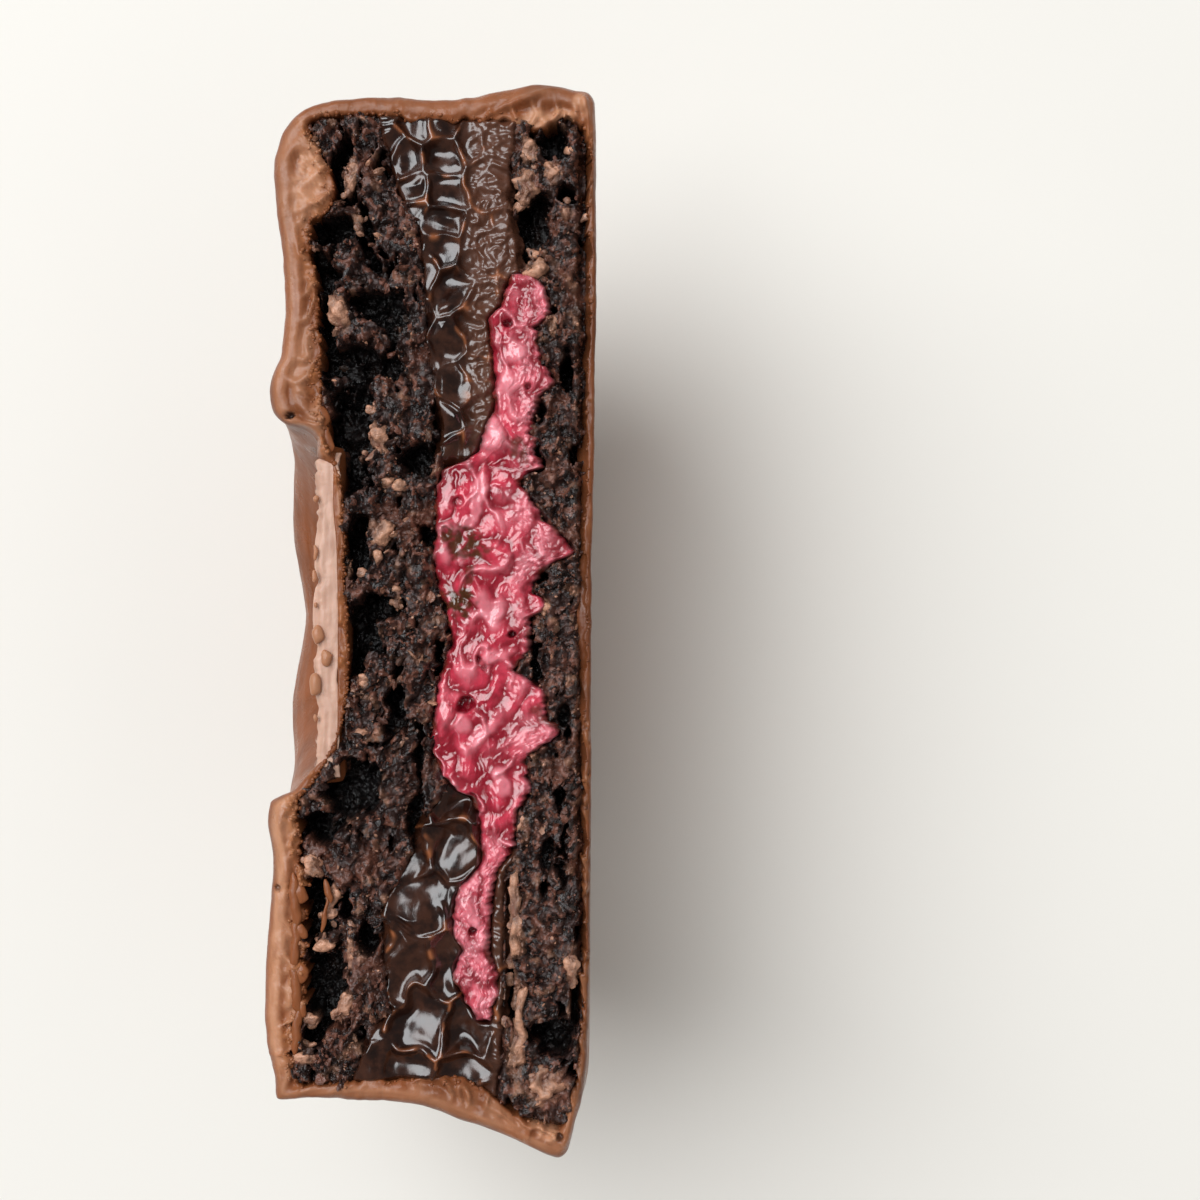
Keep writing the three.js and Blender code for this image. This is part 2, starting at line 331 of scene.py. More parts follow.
def extruded(bm: bmesh.types.BMesh, edges: list) -> tuple[list, list]:
    """Extrudes a loop of edges once.

    Args:
        bm: the bmesh.
        edges: the loop's edges.

    Returns:
        The new loop's vertices and edges.
    """
    made = bmesh.ops.extrude_edge_only(bm, edges=edges)["geom"]
    verts = [item for item in made if isinstance(item, bmesh.types.BMVert)]
    return verts, [item for item in made if isinstance(item, bmesh.types.BMEdge) and item.is_boundary]


Swell = Callable[[Array, Array, Array, dict[str, Array]], tuple[Array, Array]]


def carry_round(bm: bmesh.types.BMesh, edges: list, angles: Sequence[float],
                swell: Swell | None = None) -> None:
    """Extrudes an open loop on the cut down and round the axis, where its two ends meet and are welded.

    Args:
        bm: the bmesh, whose loop has been tied by tie_ends.
        edges: the loop's edges.
        angles: the turns from the cut, the last one a quarter turn.
        swell: may change x and radius, given them, the angle from the +Y end and the tied values.
    """
    layers = {name: bm.verts.layers.float[name] for name in CARRIED}
    for angle in angles:
        verts, edges = extruded(bm, edges)
        tied = {name: np.array([vert[layer] for vert in verts]) for name, layer in layers.items()}
        share = (1 + math.cos(angle)) / 2
        x = mix(tied["far_x"], tied["own_x"], share)
        radius = mix(tied["far_r"], tied["own_r"], share)
        turn = np.where(tied["side"] >= 0, angle, math.pi - angle)
        if swell:
            x, radius = swell(x, radius, turn, tied)
        y = tied["side"] * radius * math.cos(angle)
        z = mix(tied["far_z"], tied["own_z"], share) - radius * math.sin(angle)
        set_places(verts, x, y, np.maximum(z, -AXIS.z))


def inside_coat(thick: float, beside: float) -> Swell:
    """Makes a swell that draws a layer in under the coat's plain outline, just below the cut.

    Args:
        thick: how far the layer stays from the wall and the base.
        beside: how far it stays from the top face.

    Returns:
        The swell.
    """
    def swell(x: Array, radius: Array, turn: Array, tied: dict[str, Array]) -> tuple[Array, Array]:
        """The arguments and the result are those of carry_round's swell."""
        top_face = [(row[2], row[1]) for row in OUTSIDE_PLAIN if row[0] < TOP_FACE_END]
        fade = rise(np.sin(turn), 0.0, INSIDE_FROM)
        sunk = mix(tied["far_z"], tied["own_z"], (1 + np.abs(np.cos(turn))) / 2) * np.sin(turn)
        inner_radius = np.minimum(radius, INSIDE_RADIUS - thick + np.minimum(sunk, 0))
        inner_x = np.clip(x, along(top_face, inner_radius - sunk) + beside, INSIDE_BASE - thick)
        inner_radius, inner_x = mix(inner_radius, radius, GIVE), mix(inner_x, x, GIVE)
        return mix(x, inner_x, fade), mix(radius, inner_radius, fade)
    return swell


def quarter_turns(count: int, first: float = 1.0) -> list[float]:
    """Angles from the cut to a quarter turn. With first under 1, the steps near the cut are finer."""
    return [QUARTER_TURN * mix(first, 1, i / count) * i / count for i in range(1, count + 1)]


INSIDE_TURNS = quarter_turns(12, 0.3)  # for what lies inside the coat, below the cut


class End(Enum):
    """Which part of the cut face a patch covers."""

    BOTH = 0
    HIGH = 1
    LOW = -1


def add_patch(bm: bmesh.types.BMesh, rows: int, columns: int, end: End,
              place: Callable[[Array, Array], Surface], angles: Sequence[float],
              swell: Swell | None = None) -> None:
    """Lays a fine grid on the cut face and closes the solid under it.

    Args:
        bm: the bmesh to add to.
        rows: steps along y.
        columns: steps along x.
        end: the part of the cut face that it covers.
        place: gives the surface for a, from -1 at the low end to 1 at the high end, and b, 0 to 1 along x.
        angles: the turns for carry_round.
        swell: as in carry_round.
    """
    verts = bmesh.ops.create_grid(bm, x_segments=columns, y_segments=rows, size=1)["verts"]
    grid = np.array([vert.co for vert in verts])
    b = (grid[:, 0] + 1) / 2
    a = grid[:, 1] if end is End.BOTH else (grid[:, 1] + 1) / 2 * end.value
    own = place(a, b)
    set_places(verts, own.x, own.y, own.z)
    set_values(bm, verts, own.looks)
    tie_ends(bm, verts, own, place(-a, b))
    if end is not End.BOTH:
        set_values(bm, verts, {"side": float(end.value)})
    mine = set(verts)
    rim = [edge for edge in bm.edges if edge.is_boundary and edge.verts[0] in mine]
    carry_round(bm, rim, angles, swell)


def weld(bm: bmesh.types.BMesh) -> None:
    """Merges what meets at the end of a carried loop and on the axis."""
    bmesh.ops.remove_doubles(bm, verts=bm.verts, dist=WELD)


def finished(name: str, bm: bmesh.types.BMesh, material: bpy.types.Material,
             replaces: Sequence[str] = (), faceted: bool = False) -> bpy.types.Object:
    """Turns a bmesh in the cut's frame into a piece of the part.

    Args:
        name: the piece's name.
        bm: the bmesh, which is freed.
        material: its finish.
        replaces: the CAD nodes that it stands for.
        faceted: leaves its faces flat instead of smooth.

    Returns:
        The piece, riding on the part.
    """
    for layer_name in (*CARRIED, "number"):
        layer = bm.verts.layers.float.get(layer_name)
        if layer is not None:
            bm.verts.layers.float.remove(layer)
    bmesh.ops.recalc_face_normals(bm, faces=bm.faces)
    if bm.calc_volume(signed=True) < 0:
        bmesh.ops.reverse_faces(bm, faces=bm.faces)
    into_row = Matrix.Scale(MM, 4) @ Matrix.Translation(AXIS)
    bmesh.ops.transform(bm, matrix=into_row, verts=bm.verts)
    mesh = bpy.data.meshes.new(name)
    open_edges = sum(not edge.is_manifold for edge in bm.edges)
    triangles = sum(len(face.verts) - 2 for face in bm.faces)
    bm.to_mesh(mesh)
    bm.free()
    if not faceted:
        mesh.shade_smooth()
    mesh.materials.append(material)
    piece = bpy.data.objects.new(name, mesh)
    bpy.context.scene.collection.objects.link(piece)
    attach(piece, "root")
    if replaces:
        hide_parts(*replaces)
    log.info("%s: %d triangles, %d open edges", name, triangles, open_edges)
    return piece


# ---- Finishes ----

Colour = tuple[float, float, float]


class Wiring:
    """A node tree being built, with short calls for the nodes that the finishes use."""

    def __init__(self, tree: bpy.types.NodeTree) -> None:
        """Starts on an empty tree."""
        self.tree = tree

    def node(self, kind: str, settings: dict | None = None, **inputs: object) -> bpy.types.Node:
        """Adds a node.

        Args:
            kind: its type, without ShaderNode in front.
            settings: its own properties.
            inputs: a value or an output for each input, with _ for a space in its name.

        Returns:
            The node.
        """
        made = self.tree.nodes.new("ShaderNode" + kind)
        for name, value in (settings or {}).items():
            setattr(made, name, value)
        self.fill(made, **inputs)
        return made

    def fill(self, node: bpy.types.Node, **inputs: object) -> None:
        """Feeds each named input of a node, with _ for a space in its name."""
        for name, value in inputs.items():
            self.feed(node.inputs[name.replace("_", " ")], value)

    def feed(self, socket: bpy.types.NodeSocket, value: object) -> None:
        """Links an output to the socket, or sets its value."""
        if isinstance(value, bpy.types.NodeSocket):
            self.tree.links.new(value, socket)
        elif isinstance(value, tuple) and len(value) == 3 and socket.type == "RGBA":
            socket.default_value = (*value, 1)
        else:
            socket.default_value = value

    def blend(self, share: object, low: object, high: object) -> bpy.types.NodeSocket:
        """Mixes two colours by share."""
        made = self.node("Mix", {"data_type": "RGBA"})
        self.feed(made.inputs[0], share)
        self.feed(made.inputs[6], low)
        self.feed(made.inputs[7], high)
        return made.outputs[2]

    def cover(self, colour: object, *coats: tuple[object, object]) -> bpy.types.NodeSocket:
        """Covers a colour with others, each given as its share and itself."""
        for share, coat in coats:
            colour = self.blend(share, colour, coat)
        return colour

    def maths(self, operation: str, *values: object) -> bpy.types.NodeSocket:
        """Works out one number."""
        made = self.node("Math", {"operation": operation})
        for socket, value in zip(made.inputs, values):
            self.feed(socket, value)
        return made.outputs[0]

    def remap(self, value: object, low: float, high: float, to_low: float = 0.0,
              to_high: float = 1.0) -> bpy.types.NodeSocket:
        """Maps low..high to to_low..to_high smoothly, and clamps."""
        made = self.node("MapRange", {"interpolation_type": "SMOOTHSTEP"})
        for socket, number in zip(made.inputs, (value, low, high, to_low, to_high)):
            self.feed(socket, number)
        return made.outputs[0]

    def reads(self, name: str, share: float = 1.0) -> bpy.types.NodeSocket:
        """Reads a number that the piece's mesh carries, or a share of it."""
        value = self.node("Attribute", {"attribute_name": name}).outputs["Fac"]
        return value if share == 1 else self.maths("MULTIPLY", value, share)

    def stretched(self, place: object, rotation: Colour, squeeze: float) -> bpy.types.NodeSocket:
        """Turns the place and squeezes it along y, which draws patterns on it out that way."""
        return self.node("Mapping", Vector=place, Rotation=rotation, Scale=(1.0, squeeze, 1.0)).outputs[0]

    def noise(self, place: object, size: float, detail: float = 3.0, roughness: float = 0.55,
              distortion: float = 0.0) -> bpy.types.NodeSocket:
        """Noise with lumps of the given size in millimetres."""
        return self.node("TexNoise", Vector=place, Scale=1 / (size * MM), Detail=detail,
                         Roughness=roughness, Distortion=distortion).outputs["Fac"]

    def bump(self, *heights: tuple[object, float]) -> bpy.types.NodeSocket:
        """Bumps the surface by heights from 0 to 1, each with its depth in millimetres."""
        normal = {}
        for height, deep in heights:
            made = self.node("Bump", Height=height, Strength=1.0, Distance=deep * MM, **normal)
            normal = {"Normal": made.outputs["Normal"]}
        return normal["Normal"]


def moist_group() -> bpy.types.NodeTree:
    """The damp, mottled skin that every layer has: uneven shine and a fine grain.

    Returns:
        A group with inputs Vector, Size, Dull and Shiny, and outputs Roughness, Mottle and Grain.
    """
    group = bpy.data.node_groups.new("moist_skin", "ShaderNodeTree")
    for name, kind in (("Vector", "Vector"), ("Size", "Float"), ("Dull", "Float"), ("Shiny", "Float")):
        group.interface.new_socket(name, in_out="INPUT", socket_type="NodeSocket" + kind)
    for name in ("Roughness", "Mottle", "Grain"):
        group.interface.new_socket(name, in_out="OUTPUT", socket_type="NodeSocketFloat")
    wiring = Wiring(group)
    entry = group.nodes.new("NodeGroupInput").outputs
    scale = wiring.maths("DIVIDE", 1 / MM, entry["Size"])
    mottle = wiring.node("TexNoise", Vector=entry["Vector"], Scale=scale, Detail=4.0, Roughness=0.6)
    finer = wiring.maths("MULTIPLY", scale, 5.0)
    grain = wiring.node("TexNoise", Vector=entry["Vector"], Scale=finer, Detail=3.0, Roughness=0.6)
    patch = wiring.remap(mottle.outputs["Fac"], 0.35, 0.65)
    span = wiring.maths("SUBTRACT", entry["Dull"], entry["Shiny"])
    rough = wiring.maths("MULTIPLY_ADD", patch, span, entry["Shiny"])
    wiring.fill(group.nodes.new("NodeGroupOutput"), Roughness=rough, Mottle=mottle.outputs["Fac"],
                Grain=grain.outputs["Fac"])
    return group


@dataclass(frozen=True)
class Finish:
    """What all finishes share: a name, the size of their mottling, and how dull and shiny they get."""

    name: str
    mottle: float
    dull: float
    shiny: float

    def material(self, skin: bpy.types.NodeTree) -> bpy.types.Material:
        """Builds the material.

        Args:
            skin: the moist_skin group.

        Returns:
            A new material with its colour, roughness and bump wired in.
        """
        made = bpy.data.materials.new(self.name)
        made.use_nodes = True
        made.node_tree.nodes.clear()
        wiring = Wiring(made.node_tree)
        place = wiring.node("TexCoord").outputs["Object"]
        group = made.node_tree.nodes.new("ShaderNodeGroup")
        group.node_tree = skin
        wiring.fill(group, Vector=place, Size=self.mottle, Dull=self.dull, Shiny=self.shiny)
        shader = wiring.node("BsdfPrincipled", Roughness=group.outputs["Roughness"])
        self.dress(wiring, shader, place, group.outputs)
        out = made.node_tree.nodes.new("ShaderNodeOutputMaterial")
        made.node_tree.links.new(shader.outputs[0], out.inputs[0])
        return made

    def dress(self, wiring: Wiring, shader: bpy.types.Node, place: object, skin: object) -> None:
        """Wires in what is this finish's own.

        Args:
            wiring: the material's tree.
            shader: its Principled BSDF.
            place: the Object coordinates.
            skin: the outputs of the moist_skin group.
        """
        raise NotImplementedError


@dataclass(frozen=True)
class CoatFinish(Finish):
    """Satin milk chocolate with faint flow marks, paler where the knife smeared it, with a painted highlight
    along the lip's rounded outer edge and painted shade in its pits and along its low edge by the base.
    """

    deep: Colour = (0.182, 0.055, 0.019)
    plain: Colour = (0.262, 0.081, 0.029)
    smeared: Colour = (0.56, 0.275, 0.155)
    grainy: Colour = (0.37, 0.135, 0.050)
    # painted shade, laid into the lip's pits and along its thin low edge by the base
    painted_shade: Colour = (0.03, 0.01, 0.006)

    def dress(self, wiring: Wiring, shader: bpy.types.Node, place: object, skin: object) -> None:
        """Wires in the coat's own colours and bumps; the arguments are those of Finish.dress."""
        streaks = wiring.stretched(place, (0.5, 0.3, 0.7), 0.22)
        flow = wiring.noise(streaks, 2.4, 4.0, 0.6, 0.6)
        body = wiring.cover(self.deep, (wiring.remap(flow, 0.32, 0.68), self.plain),
                            # pale: the knife's smears, and a painted highlight along the lip's rounded outer
                            # edge
                            (wiring.reads("pale", 0.85), self.smeared),
                            # pit_shade lays painted shade into the lip's pits and along its low edge by the
                            # base
                            (wiring.reads("grain", 0.8), self.grainy), (wiring.reads("pit_shade"), self.painted_shade))
        wiring.fill(shader, Base_Color=body, Normal=wiring.bump((skin["Grain"], 0.035), (flow, 0.10)),
                    Subsurface_Weight=0.12, Subsurface_Radius=(1.0, 0.45, 0.25),
                    Subsurface_Scale=0.6 * MM, Specular_IOR_Level=0.32)


@dataclass(frozen=True)
class CrumbFinish(Finish):
    """Dark cocoa crumb: near black, blackened further by painted shade in its hollows, brown on dry flakes.
    """

    # painted shade for the crumb's hollows, laid on by the sunk look
    hollow_shade: Colour = (0.0025, 0.0013, 0.0011)
    black: Colour = (0.010, 0.0048, 0.0042)
    dark: Colour = (0.042, 0.018, 0.014)
    brown: Colour = (0.20, 0.074, 0.047)
    flake: Colour = (0.66, 0.33, 0.205)

    def dress(self, wiring: Wiring, shader: bpy.types.Node, place: object, skin: object) -> None:
        """Wires in the crumb's own colours and bumps; the arguments are those of Finish.dress."""
        speck = wiring.noise(place, 0.5, 4.0, 0.65)
        wide = wiring.noise(place, 2.6, 2.0)
        flaky = wiring.maths("MULTIPLY", wiring.reads("flake"), wiring.remap(speck, 0.25, 0.62, 0.45, 1.0))
        body = wiring.cover(self.black, (wiring.remap(skin["Mottle"], 0.42, 0.64), self.dark),
                            (wiring.remap(wide, 0.54, 0.70, 0, 0.55), self.brown),
                            (wiring.remap(speck, 0.57, 0.69), self.brown),
                            (wiring.remap(wiring.reads("tone"), 0.55, 1.0, 0, 0.85), self.brown),
                            # sunk blackens the low places with painted shade
                            (flaky, self.flake), (wiring.reads("sunk"), self.hollow_shade))
        wiring.fill(shader, Base_Color=body, Normal=wiring.bump((skin["Grain"], 0.09), (speck, 0.12)),
                    Specular_IOR_Level=0.7)


@dataclass(frozen=True)
class SyrupFinish(Finish):
    """Glossy dark chocolate filling, with golden-brown ridges and dry brown skin in places."""

    dark: Colour = (0.013, 0.0042, 0.0027)
    warm: Colour = (0.050, 0.016, 0.0078)
    ridge: Colour = (0.36, 0.115, 0.042)
    skin_brown: Colour = (0.100, 0.036, 0.019)

    def dress(self, wiring: Wiring, shader: bpy.types.Node, place: object, skin: object) -> None:
        """Wires in the filling's own colours and bumps; the arguments are those of Finish.dress."""
        dry = wiring.reads("dry")
        body = wiring.cover(self.dark, (wiring.remap(skin["Mottle"], 0.35, 0.65), self.warm),
                            (dry, self.skin_brown), (wiring.reads("ridge", 0.8), self.ridge))
        brushed = wiring.noise(wiring.stretched(place, (0.0, 0.0, 0.9), 0.3), 0.3, 3.0, 0.6, 0.5)
        wrinkle = wiring.noise(place, 1.3, 1.0, 0.4, 0.8)
        wiring.fill(shader, Base_Color=body, Normal=wiring.bump((brushed, 0.02), (wrinkle, 0.06)),
                    Roughness=wiring.maths("MULTIPLY_ADD", dry, 0.22, skin["Roughness"]),
                    Specular_IOR_Level=0.55, Coat_Weight=0.65, Coat_Roughness=0.19, Coat_IOR=1.55)


@dataclass(frozen=True)
class BerryFinish(Finish):
    """Wet pink berry filling with pale strands, painted shade that turns its hollows and creases deep red,
    painted highlights on smooth ribbons and a few brown stains.
    """

    # deep red: the dark side of the random mottle, and painted shade in hollows and creases
    deep: Colour = (0.25, 0.007, 0.018)
    pink: Colour = (0.61, 0.043, 0.082)
    pale: Colour = (0.86, 0.29, 0.34)
    stain: Colour = (0.080, 0.024, 0.007)

    def dress(self, wiring: Wiring, shader: bpy.types.Node, place: object, skin: object) -> None:
        """Wires in the berry's own colours and bumps; the arguments are those of Finish.dress."""
        streak = wiring.noise(wiring.stretched(place, (0.0, 0.0, 0.35), 0.35), 0.8, 3.0, 0.5, 1.2)
        # light: random pale streaks and the pale look, which on the ribbons is partly painted highlight
        light = wiring.maths("MAXIMUM", wiring.remap(streak, 0.55, 0.75, 0, 0.85), wiring.reads("pale"))
        body = wiring.cover(self.deep, (wiring.remap(skin["Mottle"], 0.30, 0.62), self.pink),
                            (light, self.pale), (wiring.reads("deep"), self.deep),
                            (wiring.reads("stain"), self.stain))
        wiring.fill(shader, Base_Color=body, Normal=wiring.bump((skin["Grain"], 0.015), (streak, 0.07)),
                    Roughness=wiring.maths("MULTIPLY_ADD", wiring.reads("dry"), 0.25, skin["Roughness"]),
                    Subsurface_Weight=0.3, Subsurface_Radius=(1.0, 0.25, 0.3), Subsurface_Scale=0.6 * MM,
                    Specular_IOR_Level=0.6, Coat_Weight=0.5, Coat_Roughness=0.08, Coat_IOR=1.6)


@dataclass(frozen=True)
class FloorFinish(Finish):
    """A plain, pale, warm paper floor."""

    paper: Colour = (0.86, 0.83, 0.775)
    shade: Colour = (0.84, 0.81, 0.755)

    def dress(self, wiring: Wiring, shader: bpy.types.Node, place: object, skin: object) -> None:
        """Wires in the paper's faint mottling; the arguments are those of Finish.dress."""
        body = wiring.blend(skin["Mottle"], self.shade, self.paper)
        wiring.fill(shader, Base_Color=body, Specular_IOR_Level=0.15)


# ---- The lines of the cut face ----

# x by y, where one layer meets the next.
BISCUIT_TO_FILLING: Line = (
    (-31, -5.4), (-28.8, -4.85), (-26.4, -3.8), (-23.9, -2.7), (-20.8, -3), (-17.7, -2.7), (-15.8, -1.75),
    (-13.3, -0.6), (-10.2, 0.85), (-7.7, 0.1), (-4, 0.55), (-1.5, 1.35), (1.5, 0.55), (3.4, 0.3),
    (5.3, 0.25), (9, 0.5), (10.9, 0.7), (13.3, 0.4), (16.4, -0.2), (20.8, -0.5), (23.3, -0.6),
    (25.7, -1.75), (28.8, -2.7), (31, -3.3),
)
FILLING_TO_BISCUIT: Line = (
    (-31.5, 4.4), (-29.8, 4.45), (-26.4, 4.8), (-16.4, 4.95), (-14.6, 5.7), (-12.5, 5), (-11, 3.4), (-9, 2),
    (9, 2.5), (10.2, 4), (11.5, 4.6), (18.3, 5), (20, 5.9), (21.4, 5.9), (23.3, 5.7), (25.7, 5.2),
    (28.2, 5.4), (31, 5.7),
)
LOWER_LEFT: Line = (
    (-31.5, 3.9), (-26.4, 4.2), (-16.4, 4.2), (-14.6, 4.6), (-12.1, 4.9), (-9, 5.2), (-4, 4.9), (0, 5.4),
    (4, 5.8), (8.4, 5.0), (11, 5.6), (15, 6.0), (20.5, 5.8), (23.3, 5.0), (28.2, 4.7), (31, 5),
)
BERRY_LEFT: Line = (
    (-25.4, 3.0), (-24.5, 2.5), (-23.3, 1.75), (-22, 1.5), (-20.8, 1.95), (-19.5, 1.35), (-17.7, 1.5),
    (-16.4, 2.3), (-15.2, 3.1), (-13.3, 3.1), (-11.5, 2.6), (-10.9, 1.65), (-9.6, 0.55), (-7.7, 0.05),
    (-4, 0.5), (-1.5, 1.3), (1.5, 0.5), (3.4, 0.2), (5.3, 0.2), (9, 0.7), (9.5, 1.95), (10.2, 2.9),
    (11.5, 3.35), (13.3, 3.95), (15.2, 3.9), (18.3, 3.6), (19.5, 4.45), (20.6, 4.7), (21.4, 5.3),
)
BERRY_RIGHT: Line = (
    (-25.4, 3.9), (-23.9, 4.3), (-22.5, 4.5), (-20.8, 3.9), (-17.7, 4.1), (-15.8, 4.45), (-14.6, 5.4),
    (-12.1, 5.7), (-10.9, 6.4), (-9, 6.3), (-8.1, 7.2), (-7.4, 8.35), (-6.5, 7.55), (-4.65, 7.3),
    (-3.4, 5.5), (-2.2, 6.3), (-0.3, 6.6), (0.9, 7.4), (1.5, 6.7), (2.8, 7.2), (4, 9.2), (5.1, 8.2),
    (7.1, 6.6), (8.4, 5.8), (9.3, 7.2), (10.9, 6.6), (13.3, 6.9), (14.6, 8.05), (15.6, 7.3), (17.7, 6.9),
    (18.9, 7.7), (20.5, 7.2), (21.4, 5.9),
)
HIGH_LIMIT: Line = ((-9.5, 30.2), (-7.5, 31.1), (-4, 31.6), (6, 31.3), (9.5, 31.2))
LOW_LIMIT: Line = ((-9.5, 29.2), (-6, 29.7), (0, 29.5), (3, 30), (6, 31.9), (8.5, 32.3), (9.5, 30.6))
COAT_BASE_INSIDE: Line = ((-31, 8.95), (-27, 9.35), (-19, 9.6), (0, 9.74), (19, 9.97), (31, 9.65))


def coat_line(y: Array) -> Array:
    """The x of the coating's inner edge beside the top face."""
    low = [(-row[2], row[1]) for row in INSIDE_LOW if row[0] < 0.42][::-1]
    high = [(row[2], row[1]) for row in INSIDE_HIGH if 0 < row[0] < 0.42]
    return along(low + high, y)


def end_limit(x: Array, high: Array) -> Array:
    """How far from the axis the layers reach, at the end that high names."""
    return np.where(high, along(HIGH_LIMIT, x), along(LOW_LIMIT, x))


def spread(a: Array, b: Array, left: Callable[[Array], Array],
           right: Callable[[Array], Array]) -> tuple[Array, Array]:
    """Spreads a layer's grid over the cut face.

    Args:
        a: from -1 at the low end to 1 at the high end.
        b: from 0 at the left line to 1 at the right line.
        left, right: x by y.

    Returns:
        x and y.
    """
    high = a > 0
    y = a * END_GUESS
    for _ in range(2):
        x = mix(left(y), right(y), b)
        y = a * end_limit(x, high)
    return mix(left(y), right(y), b), y


def under_berry(x: Array, y: Array) -> Array:
    """Goes to 1 where the berry filling covers what lies at this place of the cut."""
    inside = rise(x - along(BERRY_LEFT, y), -0.1, 0.5) * rise(along(BERRY_RIGHT, y) - x, -0.1, 0.4)
    return inside * rise(y, -25.5, -25) * (1 - rise(y, 20.9, 21.4))


def tuck(b: Array, width: Array, deep: float, reach: float) -> Array:
    """Lowers a layer along its left and right lines, so that its neighbours cover its edge."""
    left = 1 - rise(b * width, 0, reach)
    right = 1 - rise((1 - b) * width, 0, reach)
    return -deep * np.maximum(left, right)


# ---- The coating ----

# The coating's outside and inside at each end of the cut: how far along from the middle of the top face
# (0) to the middle of the base (1), x, and the distance from the axis.
OUTSIDE_HIGH = (
    (0, -5.6, 0), (0.05, -5.7, 4.3), (0.08, -5.9, 6.9), (0.1, -5.9, 8.6), (0.112, -6.0, 9.2),
    (0.12, -6.5, 9.5), (0.128, -6.95, 9.8), (0.138, -6.9, 10.5), (0.147, -7.3, 11.1), (0.155, -7.95, 11.5),
    (0.163, -8.85, 11.8), (0.178, -9.5, 12.7), (0.2, -9.6, 14.5), (0.225, -9.1, 16.5), (0.26, -8.95, 19.3),
    (0.295, -9.05, 22), (0.33, -9.4, 25), (0.365, -9.65, 27.8), (0.385, -9.25, 29.4), (0.405, -8.3, 30.75),
    (0.43, -6.8, 31.5), (0.47, -4, 31.95), (0.5, -2, 32.05), (0.53, 0, 31.85), (0.56, 2.2, 31.95),
    (0.59, 4.6, 32.45), (0.615, 6.8, 32.85), (0.63, 8, 32.7), (0.643, 9, 32.45), (0.655, 9.85, 32.25),
    (0.665, 10.25, 31.6), (0.7, 10.32, 28.5), (0.8, 10.3, 19), (0.9, 10.15, 9.5), (1, 10.05, 0),
)
OUTSIDE_LOW = (
    (0, -5.6, 0), (0.1, -5.65, 8.2), (0.112, -6.1, 8.75), (0.12, -6.6, 9.0), (0.128, -6.95, 9.3),
    (0.14, -7.5, 9.8), (0.152, -8.3, 10.8), (0.163, -9.1, 11.2), (0.178, -9.7, 11.75), (0.2, -9.8, 13.5),
    (0.225, -9.7, 15.2), (0.26, -9.85, 17.8), (0.295, -10.05, 20.8), (0.33, -10.2, 24.5),
    (0.355, -10.1, 26.4), (0.375, -9.75, 28), (0.39, -9.4, 29.2), (0.4, -9.3, 29.8), (0.412, -8.6, 29.95),
    (0.43, -7, 29.8), (0.47, -4, 30), (0.5, -2, 30.15), (0.53, 0, 30.55), (0.56, 2.2, 31.35),
    (0.59, 4.6, 32.2), (0.61, 6.2, 32.9), (0.625, 7.4, 33.4), (0.635, 8, 33.55), (0.645, 8.5, 33.2),
    (0.655, 8.75, 32.5), (0.668, 9.0, 31.4), (0.69, 9.45, 30.1), (0.72, 9.75, 27.5), (0.8, 9.95, 20),
    (0.9, 10.0, 10), (1, 10.05, 0),
)
INSIDE_HIGH = (
    (0, -5.0, 0), (0.03, -5.2, 2.3), (0.06, -5.2, 4.7), (0.09, -5.3, 7.1), (0.112, -5.6, 9.0),
    (0.125, -5.85, 10.1), (0.15, -6.2, 11.6), (0.178, -6.5, 13), (0.21, -6.7, 15.2), (0.26, -6.8, 19.3),
    (0.295, -7.15, 22), (0.32, -7.3, 24.2), (0.335, -6.1, 25.2), (0.35, -5.8, 26.4), (0.365, -6.2, 27.8),
    (0.385, -7.0, 29.2), (0.405, -7.5, 30.4), (0.43, -6.4, 31), (0.47, -3.9, 31.1), (0.5, -1.9, 30.85),
    (0.56, 2.2, 30.75), (0.59, 4.5, 30.7), (0.615, 6.8, 30.1), (0.63, 7.8, 30.6), (0.643, 8.6, 30.9),
    (0.655, 9.2, 30.6), (0.665, 9.65, 30.2), (0.7, 9.97, 27.5), (0.8, 9.97, 19), (0.9, 9.82, 9.5),
    (1, 9.74, 0),
)
INSIDE_LOW = (
    (0, -5.0, 0), (0.03, -4.95, 2.8), (0.06, -5.1, 5.3), (0.085, -5.5, 7.1), (0.105, -6.1, 8.5),
    (0.12, -6.6, 9.4), (0.14, -7.2, 10.4), (0.163, -7.9, 11.5), (0.19, -7.95, 13.5), (0.225, -7.8, 16),
    (0.26, -7.9, 18.6), (0.295, -7.7, 21.4), (0.33, -7.9, 24), (0.36, -8.4, 26.9), (0.385, -8.4, 28.6),
    (0.41, -7.8, 29.1), (0.43, -6.5, 29.1), (0.47, -4, 28.85), (0.5, -2, 28.95), (0.53, 0.4, 28.6),
    (0.56, 2.3, 28.8), (0.585, 3.6, 29.6), (0.6, 4.8, 30.5), (0.615, 6.2, 31.3), (0.635, 7.7, 31.85),
    (0.65, 8.3, 31.6), (0.66, 8.6, 30.8), (0.69, 9.0, 29.3), (0.72, 9.35, 27), (0.8, 9.6, 19.5),
    (0.9, 9.68, 9.7), (1, 9.74, 0),
)
